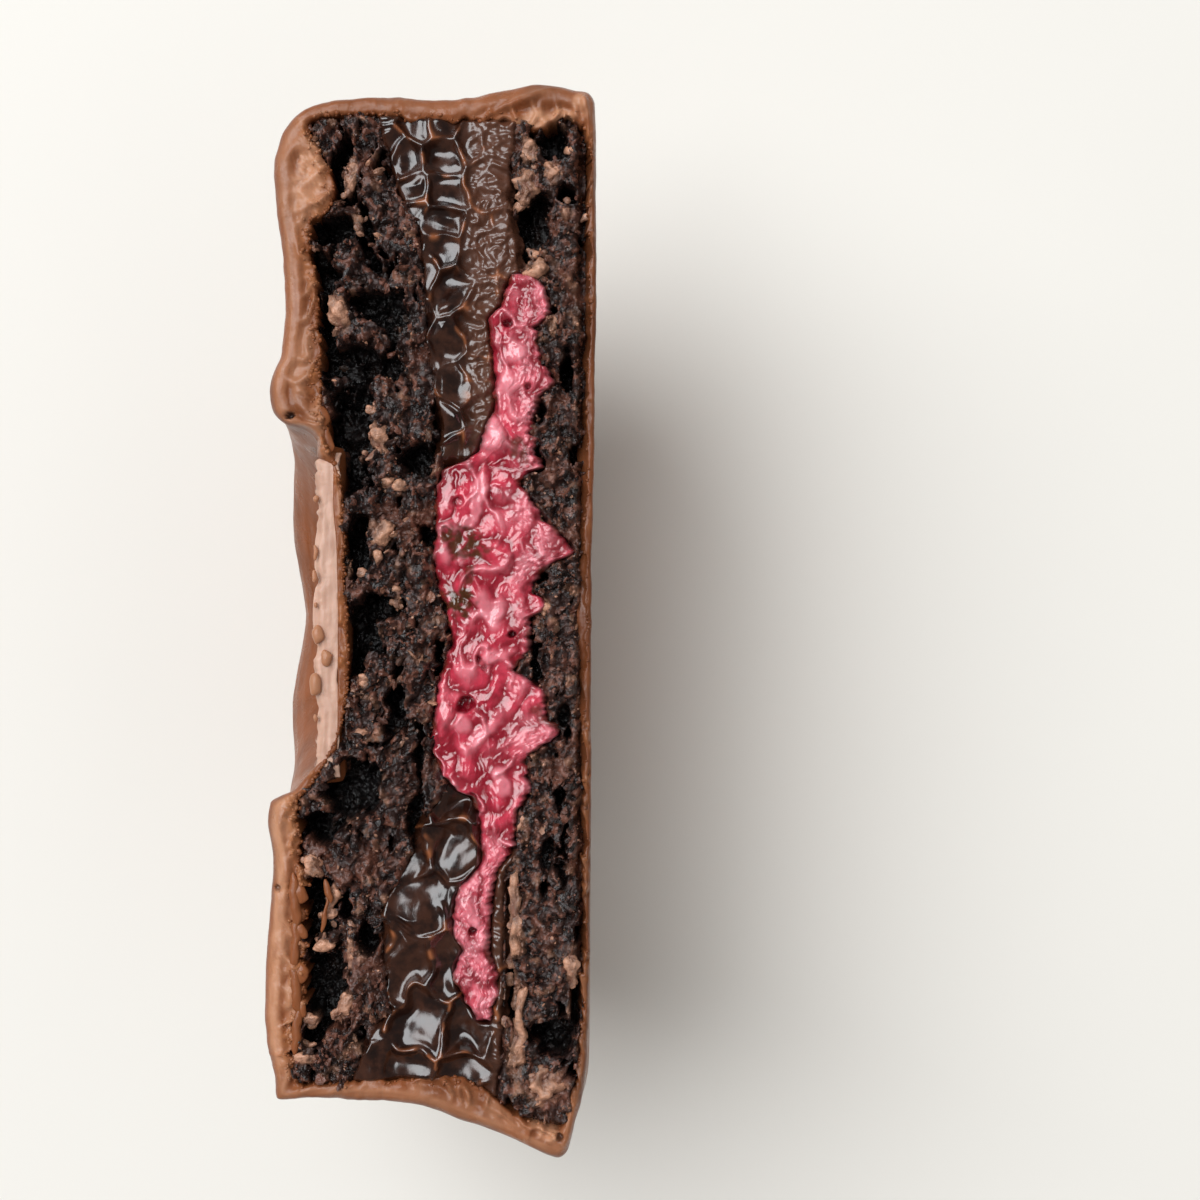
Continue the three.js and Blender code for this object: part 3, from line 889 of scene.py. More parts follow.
# The outside away from the cut: the dimple's floor, its steep wall, the rim's crest and groove, the plain
# top face, the shoulder, the wall, the foot and the base.
OUTSIDE_PLAIN = (
    (0, -5.6, 0), (0.112, -5.6, 10.0), (0.122, -5.75, 10.5), (0.135, -7.2, 10.7), (0.147, -8.2, 11.2),
    (0.158, -8.95, 11.8), (0.17, -9.45, 12.5), (0.182, -9.6, 13.1), (0.195, -9.35, 13.7),
    (0.205, -9.25, 14.2), (0.216, -9.45, 14.8), (0.24, -9.6, 16.6), (0.3, -9.65, 22.5), (0.355, -9.6, 27),
    (0.375, -9.35, 28.6), (0.395, -8.5, 30.2), (0.415, -7.2, 31.2), (0.45, -4.8, 31.8), (0.5, -1.5, 32),
    (0.55, 1.8, 32), (0.59, 4.8, 32.2), (0.615, 7, 32.5), (0.63, 8.3, 32.6), (0.645, 9.3, 32.3),
    (0.66, 9.75, 31.6), (0.675, 9.9, 30.8), (0.7, 9.95, 29), (0.8, 9.95, 19.5), (0.9, 9.95, 9.8),
    (1, 9.95, 0),
)


def around(high: Sequence, low: Sequence, s: Array) -> tuple[Array, Array]:
    """Reads a closed outline of the cut.

    Args:
        high, low: its stations at the two ends, each (way, x, distance from the axis).
        s: from -1 to 1: 0 at the middle of the top face, the high end above 0 and the low end below.

    Returns:
        x and y.
    """
    def read(stations: Sequence, column: int) -> Array:
        """Reads one column of the stations along the way."""
        return along([(row[0], row[column]) for row in stations], np.abs(s))

    x = np.where(s >= 0, read(high, 1), read(low, 1))
    y = np.where(s >= 0, read(high, 2), -read(low, 2))
    return x, y


@dataclass
class Coating:
    """The milk-chocolate coat: a rounded lip round the cut, carried round into a shell."""

    around_steps: int = 1200
    lip_steps: int = 22
    wall_steps: int = 44
    thick: float = 0.7  # of the shell below the lip
    beside: float = 0.3  # how far its inside lies under the top face
    looks_end: tuple[float, float] = (0.6, 2.6)  # below the cut, where the looks of the lip fade
    outer_round: float = 0.95  # the lip's rounding into the outside
    disc_round: float = 0.15  # the same beside the medallion
    inner_round: float = 0.4
    stand_out: float = 1.008  # the widest line lies below the cut, so it is a little wider than the cut's
    ragged: float = 0.26  # how far the lip's inner edge wanders
    bead: float = 0.5  # width of the beads on the inner edge
    bead_high: float = 0.42
    base_drop: float = 0.35  # how far the thin lip by the base lies under the cut
    pit_deep: float = 0.55
    lobe_high: float = 0.8  # the dimple's rim stands higher in two places
    lobe_turn: float = 1.1  # radians down from the cut
    lobe_wide: float = 0.33
    rest_past: float = 0.25  # how far the wall would stand past the floor, where it is cut off flat
    disc_end: tuple[float, float] = (0.100, 0.114)  # these are stretches of the way round
    low_top: tuple[float, ...] = (0.14, 0.17, 0.36, 0.4)
    plain_end: tuple[float, ...] = (0.38, 0.43, 0.64, 0.68)
    base_start: tuple[float, float] = (0.67, 0.7)
    bulges: tuple[Spot, ...] = spots(  # how far the lip stands out of its line, as strength
        (-9.5, 13.6, 1.5, 1.4, 0, 0.3), (-9.7, -12.4, 1.2, 1.2, 0, 0.2), (-9.3, -29.7, 0.5, 0.6, 0, 0.3),
    )
    folds: tuple[Spot, ...] = spots(  # raised lines, by strength
        (5.35, 31.75, 0.2, 2.1, -67, 0.32), (9.75, 31.4, 0.2, 0.95, 4, 0.3),
        (-6.7, 28.3, 0.22, 0.9, -35, 0.35), (-7.3, 27.0, 0.25, 1.1, -50, 0.35),
        (-7.0, 25.6, 0.2, 0.9, -60, 0.3), (-8.0, 29.2, 0.25, 1.0, -40, 0.2),
        (-7.9, 22.6, 0.3, 0.8, 10, 0.25), (7.4, -32.0, 0.16, 1.2, 50, 0.35),
        (5.2, -30.6, 0.16, 1.0, 35, 0.35), (6.4, -31.6, 0.14, 0.8, -20, 0.3),
        (-7.1, 11.9, 0.75, 0.95, 20, 0.55), (-6.45, 10.3, 0.5, 0.7, 0, 0.35),
        (-8.9, -13.1, 0.5, 1.0, 0, 0.3), (-8.7, -16.0, 0.35, 0.7, 0, 0.3),
    )
    smears: tuple[Spot, ...] = spots(  # pale and dry smears of the knife; the one at (7.3, -31.9) is a painted highlight
        (6.7, 30.75, 0.42, 2.7, -82), (9.3, 31.7, 0.4, 0.6, 0, 0.7), (-7.3, 27.3, 0.9, 1.9, -20, 0.7),
        (7.3, -31.9, 0.5, 1.0, 40, 0.8), (-9.3, -8.9, 0.3, 0.6, 0, 0.5),
    )
    # pits: sunk holes in the lip, which the coat also darkens with painted shade
    pits: tuple[Spot, ...] = spots(
        (-8.57, 12.4, 0.32, 0.22, 20), (-9.37, -16.95, 0.2, 0.22, 0, 0.6),
        (8.17, -32.4, 0.22, 0.26, 0, 0.7),
    )

    def edges(self, s: Array) -> tuple[Array, Array, Array, Array, Array]:
        """The two edges of the lip.

        Args:
            s: the way round, as in around().

        Returns:
            x and y of the inner edge, x and y of the outer one, and the lip's width before they wander.
        """
        out_x, out_y = around(OUTSIDE_HIGH, OUTSIDE_LOW, s)
        in_x, in_y = around(INSIDE_HIGH, INSIDE_LOW, s)
        by_disc = 1 - rise(np.abs(s), *self.disc_end)
        grow = mix(self.stand_out, 1, by_disc)
        out_x, out_y = out_x * grow, out_y * grow
        wide = np.hypot(out_x - in_x, out_y - in_y)
        to_x, to_y = (in_x - out_x) / wide, (in_y - out_y) / wide
        jag = self.ragged * (noise(in_x, in_y, 1.3, 11) + 0.7 * noise(in_x, in_y, 0.45, 12))
        jag = jag * np.clip(wide - 0.25, 0.2, 1) * mix(1, 2.4, between(-s, *self.low_top))
        jag = jag * mix(1, 4, rise(np.abs(s), *self.base_start))
        push = sum(bulge.mask(out_x, out_y, 0 * out_x, 0.9) for bulge in self.bulges)
        push += (0.10 * fractal(out_x, out_y, 4.5, 13) + 0.03 * noise(out_x, out_y, 0.9, 19)) * (1 - by_disc)
        return in_x + to_x * jag, in_y + to_y * jag, out_x - to_x * push, out_y - to_y * push, wide

    def lip(self, s: Array, b: Array | float) -> Surface:
        """The lip on the cut.

        Args:
            s: the way round, as in around().
            b: from 0 at the inner edge to 1 at the outer one.

        Returns:
            The surface, with its looks.
        """
        in_x, in_y, out_x, out_y, even = self.edges(s)
        way = np.abs(s)
        by_disc = 1 - rise(way, *self.disc_end)
        low_side = between(-s, *self.low_top)
        base_side = rise(way, *self.base_start)
        x, y = mix(in_x, out_x, b), mix(in_y, out_y, b)
        wide = np.hypot(out_x - in_x, out_y - in_y)
        from_out, from_in = (1 - b) * wide, b * wide
        outer = np.minimum(mix(self.outer_round, self.disc_round, by_disc), 0.62 * mix(wide, even, base_side))
        inner = np.minimum(self.inner_round, 0.3 * wide)
        on_top = rise(from_out, 0.05, 0.6) * rise(from_in, 0.0, 0.35)
        broad = rise(wide, 0.9, 2.0)
        inland = rise(from_out, 0.9, 1.6) * broad
        drawn = noise(from_out * 3.2, 46 * s, 1.0, 20) + 0.6 * noise(from_out * 7, 64.4 * s, 1.0, 22)
        warp = 0.4 * noise(x, y, 1.4, 23)
        fold = band(noise(x + warp, (y - warp) * 0.7, 1.3, 24), 0.16)
        z = -outer * rounded(from_out, outer) - inner * rounded(from_in, inner)
        z += on_top * (0.09 * fractal(x, y, 1.9, 14, 2) + 0.03 * noise(x, y, 0.5, 15) + 0.03 * drawn)
        z += on_top * inland * (0.36 * fold - 0.16 + 0.12 * fractal(x, y, 0.8, 25, 2))
        groove = 1.45 + 0.25 * noise(x * 0.3, y * 0.3, 1.0, 28)
        z -= 0.16 * band(from_out - groove, 0.22) * broad * on_top
        crest = np.clip(1 - np.abs(from_in - 0.4) / 0.55, 0, 1) * rise(wide, 0.35, 0.7)
        crest = crest * (1 - 0.85 * between(way, *self.plain_end)) * rise(noise(x, y, 1.6, 31), -0.5, 0.3)
        beads = cells(x + warp * 0.3, y, self.bead, 16)
        z += crest * (self.bead_high * beads.dome(0.62) - 0.14) * rise(beads.pick, 0.15, 0.6)
        bent = 0.25 * noise(x, y, 1.0, 29)
        for line in self.folds:
            z += on_top * line.mask(x, y, bent, 0.7)
        smeared = strongest(self.smears, x, y, 2 * bent, 0.5)
        # the pits are sunk, and their mask also paints shade into them
        pit_shade = strongest(self.pits, x, y, 0.15 * noise(x, y, 0.3, 17), 0.25)
        z += smeared * 0.12 * fractal(x, y, 0.4, 30, 2) + 0.12 * by_disc
        z -= self.base_drop * base_side + self.pit_deep * pit_shade
        # pale: the knife's smears, made paler on the folds so that the creases between them carry painted
        # shade, and highlight_band, a painted highlight on the lip's rounded outer edge
        smear = rise(noise(x * 1.2, y * 0.5, 1.5, 18) + 0.5 * fold * inland, -0.5, 0.6)
        highlight_band = rise(from_out, 0.05, 0.35) * (1 - rise(from_out, 0.85, 1.25)) * (0.8 + 0.4 * drawn)
        pale = np.maximum(rise(from_out, 0.35, 1.0) * smear * mix(0.55, 0.8, low_side),
                          highlight_band * mix(0.6, 1.2, low_side))
        pale = pale * on_top * rise(wide, 0.5, 1.1) * mix(1, np.where(s > 0, 0.4, 0.85), rise(way, 0.4, 0.45))
        looks = {
            "pale": np.clip(pale + smeared, 0, 1),
            "grain": crest * rise(beads.dome(0.62), 0.1, 0.8),
            # pit_shade: painted shade in the pits, and less of it along the thin lip lying low beside the
            # base
            "pit_shade": np.maximum(pit_shade, base_side * (0.36 + 0.2 * noise(x, y, 1.4, 32))),
        }
        return Surface(x, y, np.minimum(z, PEAK), looks)

    def swell(self, x: Array, radius: Array, turn: Array, tied: dict[str, Array]) -> tuple[Array, Array]:
        """Takes the shell from the cut's uneven line to its plain outside, with the coat's slow waves.

        Args:
            x, radius: the evenly carried place.
            turn: the angle from the +Y end.
            tied: the tied values, of which the way round says which part of the outside this is.

        Returns:
            The changed x and radius.
        """
        from_cut = np.sin(turn)
        way = np.abs(tied["way"])
        plain_x = along([(row[0], row[1]) for row in OUTSIDE_PLAIN], way)
        plain_radius = along([(row[0], row[2]) for row in OUTSIDE_PLAIN], way)
        fade = rise(from_cut, 0.0, 0.26)
        x, radius = mix(x, plain_x, fade), mix(radius, plain_radius, fade)
        y, z = radius * np.cos(turn), -radius * np.sin(turn)
        on_wall = between(way, 0.38, 0.42, 0.64, 0.67)
        waves = 0.3 * fractal(x, y, 8, 21, 2, z) + 0.08 * noise(x, y, 2.2, 26, z)
        standing = rise(from_cut, 0.93, 0.99)
        radius = radius + on_wall * fade * mix(waves, AXIS.z + self.rest_past - radius, standing)
        x = x + between(way, 0.125, 0.17, 0.35, 0.4) * fade * 0.12 * fractal(x, y, 6, 27, 3, z)
        lobe = band(np.minimum(turn, math.pi - turn) - self.lobe_turn, self.lobe_wide)
        x = x - self.lobe_high * lobe * between(way, 0.122, 0.16, 0.3, 0.35) * band(radius - 13, 1.7)
        return x, radius

    def build(self, material: bpy.types.Material) -> bpy.types.Object:
        """Makes the coating: inside wall, lip and outside, one ring after another."""
        bm = blank("pale", "grain", "pit_shade")
        count = even_steps(self.around_steps)
        verts = bmesh.ops.create_circle(bm, cap_ends=False, radius=1, segments=count)["verts"]
        s = np.array([math.atan2(vert.co.y, vert.co.x) / math.pi for vert in verts])
        set_values(bm, verts, {"way": np.where(s <= -1 + 1e-6, 1.0, s)})
        way = bm.verts.layers.float["way"]
        inner_edges = edges = list(bm.edges)
        for share in 0.5 - 0.5 * np.cos(np.linspace(0, math.pi, steps(self.lip_steps) + 1)):
            if share > 0:
                verts, edges = extruded(bm, edges)
            here = np.array([vert[way] for vert in verts])
            own = self.lip(here, float(share))
            set_places(verts, own.x, own.y, own.z)
            set_values(bm, verts, own.looks)
            if share in (0, 1):
                tie_ends(bm, verts, own, self.lip(-here, float(share)))
                set_values(bm, verts, {"side": np.sign(here) * (np.abs(here) < 1)})
        carry_round(bm, inner_edges, INSIDE_TURNS, inside_coat(self.thick, self.beside))
        carry_round(bm, edges, quarter_turns(steps(self.wall_steps), 0.35), self.swell)
        self.fade_looks(bm)
        weld(bm)
        return finished("coat", bm, material, ["coating"])

    def fade_looks(self, bm: bmesh.types.BMesh) -> None:
        """Ends the looks of the lip a little way down from the cut."""
        verts = list(bm.verts)
        keep = 1 - rise(-np.array([vert.co.z for vert in verts]), *self.looks_end)
        for name in ("pale", "grain", "pit_shade"):
            layer = bm.verts.layers.float[name]
            set_values(bm, verts, {name: keep * np.array([vert[layer] for vert in verts])})


# ---- The biscuits ----


@dataclass(frozen=True)
class Crumb:
    """One size of crumb on a torn face; its heights are shares of the roughness."""

    size: float  # by the largest one's
    stretch: float
    dome: float
    step: float
    tilt: float
    border: float


CRUMBS = (Crumb(1, 1.5, 0.7, 1.3, 0.8, 0.2), Crumb(0.48, 1.4, 0.5, 1.0, 0.5, 0.26),
          Crumb(0.24, 1.2, 0.0, 0.35, 0.35, 0.3))


@dataclass
class Biscuit:
    """A dark cocoa biscuit: torn crumb with holes, flakes and lumps, over a solid body."""

    name: str
    node: str
    rows: int
    columns: int
    left: Callable[[Array], Array]
    right: Callable[[Array], Array]
    level: float
    lump: float  # width of the largest crumbs
    rough: float  # height of the largest crumbs
    open_share: float  # how much of the face is open, from 0 to 1
    seed: int
    holes: tuple[Spot, ...]
    flakes: tuple[Spot, ...]
    hole_deep: float = 3.2
    edge_deep: float = 1.1  # how far it is sunk along its edges
    berry_deep: float = 0.9  # and under the berry filling

    def relief(self, x: Array, y: Array) -> tuple[Array, dict[str, Array]]:
        """The height of the torn face over its level, and its looks."""
        seed = self.seed
        warp_x, warp_y = warped(x, y, (0.3, 0.9), (0.1, 0.35), seed)
        lumps = 0.25 * fractal(x, y, 0.5, seed + 7, 2) - 0.35
        picks = []
        for number, crumb in enumerate(CRUMBS):
            field_of = cells(warp_x, warp_y, self.lump * crumb.size, seed + 4 + number, crumb.stretch)
            step = crumb.step * (field_of.pick - 0.5) + crumb.tilt * field_of.tilt(seed + number)
            lumps = lumps + crumb.dome * field_of.dome(0.8) + step * (1 - field_of.border(crumb.border))
            picks.append(field_of.pick)
        slow = fractal(x, y, 2.8, seed + 8, 3)
        ragged = 0.6 * fractal(x, y, 1.5, seed + 9, 4)
        holes = strongest(self.holes, x, y, ragged - 0.2, 0.3)
        open_at = 0.95 - 0.75 * self.open_share
        own_holes = rise(-fractal(warp_x, warp_y * 0.5, 1.5, seed + 10, 4), open_at, open_at + 0.25)
        holes = np.maximum(holes, 0.75 * own_holes)
        flakes = strongest(self.flakes, x, y, 1.3 * ragged, 0.25)
        height = self.rough * lumps + 0.25 * slow - self.hole_deep * holes * (1 - flakes)
        height = mix(height, 0.5 * height, flakes)
        dry = rise(fractal(x, y, 1.2, seed + 12, 3), 0.2, 0.8) * rise(picks[1], 0.3, 0.8)
        # In the holes, tone and the dry flakes fade out and sunk paints shade, so the low places are darker
        looks = {"flake": np.clip(0.6 * flakes * (0.3 + 0.7 * picks[1]) + 0.42 * dry * (1 - holes), 0, 1),
                 "tone": picks[2] * (1 - holes), "sunk": 0.92 * rise(-height, 0.45, 1.5)}
        return height, looks

    def surface(self, x: Array, y: Array) -> Surface:
        """The face at any place of the cut."""
        height, looks = self.relief(x, y)
        left, right = self.left(y), self.right(y)
        from_left, from_right = x - left, right - x
        from_end = end_limit(x, y > 0) - np.abs(y)
        inland = rise(from_left, 0.1, 0.65) * rise(from_right, 0.1, 0.7) * rise(from_end, 0.15, 1.0)
        z = np.minimum(self.level + height, PEAK) - self.edge_deep * (1 - inland)
        return Surface(x, y, z - self.berry_deep * under_berry(x, y), looks)

    def place(self, a: Array, b: Array) -> Surface:
        """The face for add_patch."""
        return self.surface(*spread(a, b, self.left, self.right))

    def build(self, material: bpy.types.Material) -> bpy.types.Object:
        """Makes the biscuit."""
        bm = blank("flake", "tone", "sunk")
        add_patch(bm, even_steps(self.rows), steps(self.columns), End.BOTH, self.place, INSIDE_TURNS,
                  inside_coat(1.0, 0.5))
        weld(bm)
        return finished(self.name, bm, material, [self.node])


UPPER_HOLES = spots(
    (-5.55, 27.9, 0.5, 1.6, -12), (-4.93, 26.1, 0.4, 0.6), (-6.05, 24.1, 1.15, 0.8),
    (-6.4, 21.1, 0.65, 0.9), (-3.8, 22.7, 0.3, 1.2, 25), (-3.1, 19, 1.4, 0.8, -15), (-6.25, 17.3, 0.5, 2.5),
    (-4.5, 15.7, 1.2, 1.1), (-2.4, 15.6, 0.7, 0.6), (-4.9, 11.3, 1.2, 2.5), (-0.6, 9.6, 0.8, 0.75),
    (-4.4, 4.2, 0.6, 1.6), (-3, 0.45, 0.95, 0.7), (-4.3, -1.5, 0.95, 1.6), (-2, -5.6, 0.45, 0.9),
    (-4.7, -10.9, 1.3, 1.5), (-6.6, -13.2, 0.85, 0.75), (-6.95, -18.7, 0.95, 2.1), (-6.6, -23.3, 1.1, 2.1),
    (-7.2, -26.2, 0.6, 0.65), (-3.8, -20.1, 0.45, 0.8),
)
UPPER_FLAKES = spots(
    (-4.8, 27.3, 0.35, 1, -10), (-4.4, 24.4, 0.28, 0.9, 15), (-5.65, 18.8, 0.5, 1.3, 10),
    (-7.3, 29.6, 0.3, 0.25), (-3.55, 12.7, 0.3, 0.3), (-3.05, 10.9, 0.45, 1.1, 20), (-2.6, 8.2, 0.45, 0.4),
    (-3.1, 5.1, 0.6, 0.8, 0, 0.8), (-5.2, 2.7, 0.4, 0.4), (-2, 0.75, 0.25, 0.35, 0, 0.8),
    (-0.6, -2.7, 0.35, 0.5, 0, 0.7), (-3.95, -4.1, 0.4, 0.4), (-7.1, -15.6, 0.35, 0.8, 20),
    (-6.1, -17.8, 0.25, 1, -15), (-6.6, -20.5, 0.5, 0.4), (-5.3, -24.4, 0.4, 1, -30),
    (-8.4, -25.7, 0.4, 0.4), (-7.3, -25.2, 0.35, 0.3), (-7.7, -27.5, 0.7, 0.4), (-4.85, -20.8, 0.16, 0.8),
    (-4.0, -22.6, 0.3, 0.3, 0, 0.6),
)
LOWER_HOLES = spots(
    (7.75, 29.4, 0.85, 0.85), (8.6, 26.1, 0.45, 0.5), (6.45, 24.4, 0.85, 1.7, -10), (5.35, 26.2, 0.2, 0.6),
    (8.6, 15.5, 0.32, 1), (6.5, 12.1, 0.2, 0.25), (7, 9.3, 0.2, 0.25), (5.02, -21, 0.2, 4.2, 0),
    (7.75, -26.2, 1.1, 0.85), (9.1, -24, 0.25, 1.4), (8.4, -6.1, 0.3, 0.6, 0, 0.5),
    (7.4, -15, 0.3, 0.8, 0, 0.5),
)
LOWER_FLAKES = spots(
    (6.35, 28.9, 0.42, 0.7), (6.07, 26.55, 0.6, 1), (7.7, 27.5, 0.55, 0.7, 0, 0.6),
    (6.7, 21.5, 0.55, 0.7, -20, 0.7), (8.6, 24.9, 0.45, 0.5, 0, 0.8), (7.7, 17.9, 0.25, 0.6),
    (7.25, 0.5, 0.25, 0.3, 0, 0.7), (5.45, -19.5, 0.4, 3.2, 2), (5.5, -26.4, 0.42, 3.1, -3, 0.9),
    (8.85, -22, 0.4, 1.1), (6, -12.9, 0.25, 0.5, 0, 0.6), (7.2, -29.3, 1, 1.3, 0, 0.5),
)


Ground = Callable[[np.random.Generator, int], Surface]


def anywhere(biscuit: Biscuit) -> Ground:
    """Draws places all over a biscuit's torn face."""
    return lambda draw, count: biscuit.surface(*spread(
        draw.uniform(-0.99, 0.99, count), draw.uniform(0.02, 0.98, count), biscuit.left, biscuit.right))


def along_lip(coating: Coating, by_top_face: float = 0.72, reach: float = 0.3) -> Ground:
    """Draws places along the inner edge of the coating's lip.

    Args:
        coating: the coating.
        by_top_face: the share of the places that lie beside the top face.
        reach: how far over the lip they lie, as a share of its width.

    Returns:
        What draws them.
    """
    def drawn(draw: np.random.Generator, count: int) -> Surface:
        """Picks the places."""
        way = np.where(draw.uniform(0, 1, count) < by_top_face,
                       draw.uniform(-TOP_FACE_END, TOP_FACE_END, count),
                       draw.uniform(TOP_FACE_END, 1, count) * draw.choice((-1, 1), count))
        return coating.lip(way, draw.uniform(0, 1, count) ** 2 * reach)
    return drawn


@dataclass
class Scatter:
    """Small bits of one kind, lying where they are drawn."""

    name: str
    node: str
    ground: Ground
    doublings: int  # there are two to this power
    smallest: float
    largest: float
    seed: int
    subdivisions: int = 1
    brown_share: float = 0.1
    thin: float = 0.5  # thickness by length
    lift: float = 0.2  # how much of its size a bit stands above the ground
    jagged: float = 0.5  # how far corners are pulled in
    faceted: bool = True
    skewed: float = 2.2  # the higher, the more small ones

    def copies(self, looks: Sequence[str]) -> tuple[bmesh.types.BMesh, Array, Array]:
        """Doubles one small ball again and again.

        Args:
            looks: the names of the looks that the ground has.

        Returns:
            The bmesh, each vertex's place on its ball, and the number of its ball.
        """
        bm = blank("number", *looks)
        number = bm.verts.layers.float["number"]
        bmesh.ops.create_icosphere(bm, subdivisions=self.subdivisions, radius=1)
        for doubling in range(self.doublings):
            made = bmesh.ops.duplicate(bm, geom=[*bm.verts, *bm.edges, *bm.faces])["geom"]
            for item in made:
                if isinstance(item, bmesh.types.BMVert):
                    item[number] += 2 ** doubling
        places = np.array([vert.co for vert in bm.verts])
        numbers = np.array([round(vert[number]) for vert in bm.verts])
        return bm, places, numbers

    def build(self, material: bpy.types.Material) -> bpy.types.Object:
        """Makes the bits as one piece."""
        count = 2 ** self.doublings
        draw = np.random.default_rng(self.seed)
        here = self.ground(draw, count)
        bm, ball, number = self.copies(list(here.looks))
        size = mix(self.smallest, self.largest, draw.uniform(0, 1, count) ** self.skewed)
        sides = np.column_stack((np.ones(count), draw.uniform(0.45, 1, count),
                                 draw.uniform(self.thin * 0.6, self.thin * 1.4, count)))
        angles = draw.uniform(0, 2 * math.pi, (count, 3)) * (1.0, 0.5, 1.0)
        turns = np.array([Euler(angle).to_matrix() for angle in angles.tolist()])
        own = ball * (1 - self.jagged * draw.uniform(0, 1, len(ball)))[:, None]
        own = np.einsum("nij,nj->ni", turns[number], own * sides[number] * size[number, None])
        z = np.minimum(here.z + self.lift * size, PEAK - 0.5 * size)
        verts = list(bm.verts)
        set_places(verts, own[:, 0] + here.x[number], own[:, 1] + here.y[number], own[:, 2] + z[number])
        # the bits take the ground's looks, with its painted shade in the hollows
        looks = dict(here.looks)
        if "tone" in looks:
            brown = np.where(draw.uniform(0, 1, count) < self.brown_share, draw.uniform(0.1, 1, count), 0)
            looks["flake"] = np.clip(looks["flake"] + brown, 0, 1)
            looks["tone"] = draw.uniform(0, 1, count)
        set_values(bm, verts, {name: values[number] for name, values in looks.items()})
        return finished(self.name, bm, material, faceted=self.faceted)


@dataclass
class Shards:
    """Smooth, uneven bits of milk chocolate caught in a biscuit's crumb."""

    name: str
    biscuit: Biscuit
    spots: tuple[Spot, ...]
    seed: int
    crumbs: int = 3  # small ones by each large one
    thick: float = 0.6
    uneven: float = 0.85
    bent: float = 0.45
    tilted: float = 0.12  # rise along its length
    large: float = 0.5  # longer ones are finer and bent
    lowest: float = -0.8  # they lie on the crumb, but between these heights
    highest: float = -0.2

    def all_spots(self) -> list[Spot]:
        """The given spots, each with a few smaller ones by it."""
        draw = np.random.default_rng(self.seed)
        spots = []
        for spot in self.spots:
            spots.append(spot)
            for _ in range(self.crumbs):
                x, y = draw.normal((spot.x, spot.y), (spot.across, spot.along))
                size = draw.uniform(0.1, 0.3)
                spots.append(Spot(x, y, size, size * draw.uniform(0.8, 2.2), draw.uniform(-90, 90)))
        return spots

    def build(self, material: bpy.types.Material) -> bpy.types.Object:
        """Makes the bits as one piece."""
        bm = blank("flake", "tone", "sunk")
        for number, spot in enumerate(self.all_spots()):
            is_large = spot.along > self.large
            verts = bmesh.ops.create_icosphere(bm, subdivisions=3 + is_large, radius=1)["verts"]
            x, y, z = np.array([vert.co for vert in verts]).T
            high = self.thick * math.sqrt(spot.across * min(spot.along, 2 * spot.across))
            x, y, z = x * spot.across, y * spot.along, z * high
            lumps = fractal(x, y, 0.8, self.seed + number, 4, z)
            grow = np.clip(1 + self.uneven * lumps, 0.25, 1.7)
            lean = math.radians(spot.turn)
            bend = self.bent * is_large * noise(y, 0 * y, 1.1, self.seed + number)
            across, length = x * grow + bend, y * (0.7 + 0.3 * grow)
            ground = float(self.biscuit.surface(np.array([spot.x]), np.array([spot.y])).z[0])
            place_x = spot.x + across * math.cos(lean) - length * math.sin(lean)
            place_y = spot.y + across * math.sin(lean) + length * math.cos(lean)
            place_z = min(max(ground, self.lowest), self.highest) + self.tilted * length + z * grow
            set_places(verts, place_x, place_y, np.minimum(place_z, PEAK - 0.1))
            set_values(bm, verts, {"flake": np.clip(0.55 + 0.7 * lumps, 0.05, 1),
                                   "tone": np.clip(0.4 - lumps, 0, 1)})
        return finished(self.name, bm, material)


@dataclass
class Drops:
    """Rounded drops of chocolate of one look."""

    name: str
    look: str
    share: float  # of the look
    wobble: float
    drops: tuple[Spot, ...]  # strength says how high a drop stands, by its width

    def build(self, material: bpy.types.Material) -> bpy.types.Object:
        """Makes the drops as one piece."""
        bm = blank("pale", "grain", "pit_shade")
        for drop in self.drops:
            shape = (Matrix.Translation((drop.x, drop.y, 0.02))
                     @ Matrix.Rotation(math.radians(drop.turn), 4, "Z")
                     @ Matrix.Diagonal((drop.across, drop.along, drop.across * drop.strength, 1)))
            bmesh.ops.create_icosphere(bm, subdivisions=4, radius=1, matrix=shape)
        verts = list(bm.verts)
        set_values(bm, verts, {self.look: self.share})
        x, y, z = np.array([vert.co for vert in verts]).T
        far_x, far_y = (self.wobble * noise(x, y, 0.7, seed, z) for seed in (91, 92))
        set_places(verts, x + far_x, y + far_y, z)
        return finished(self.name, bm, material)


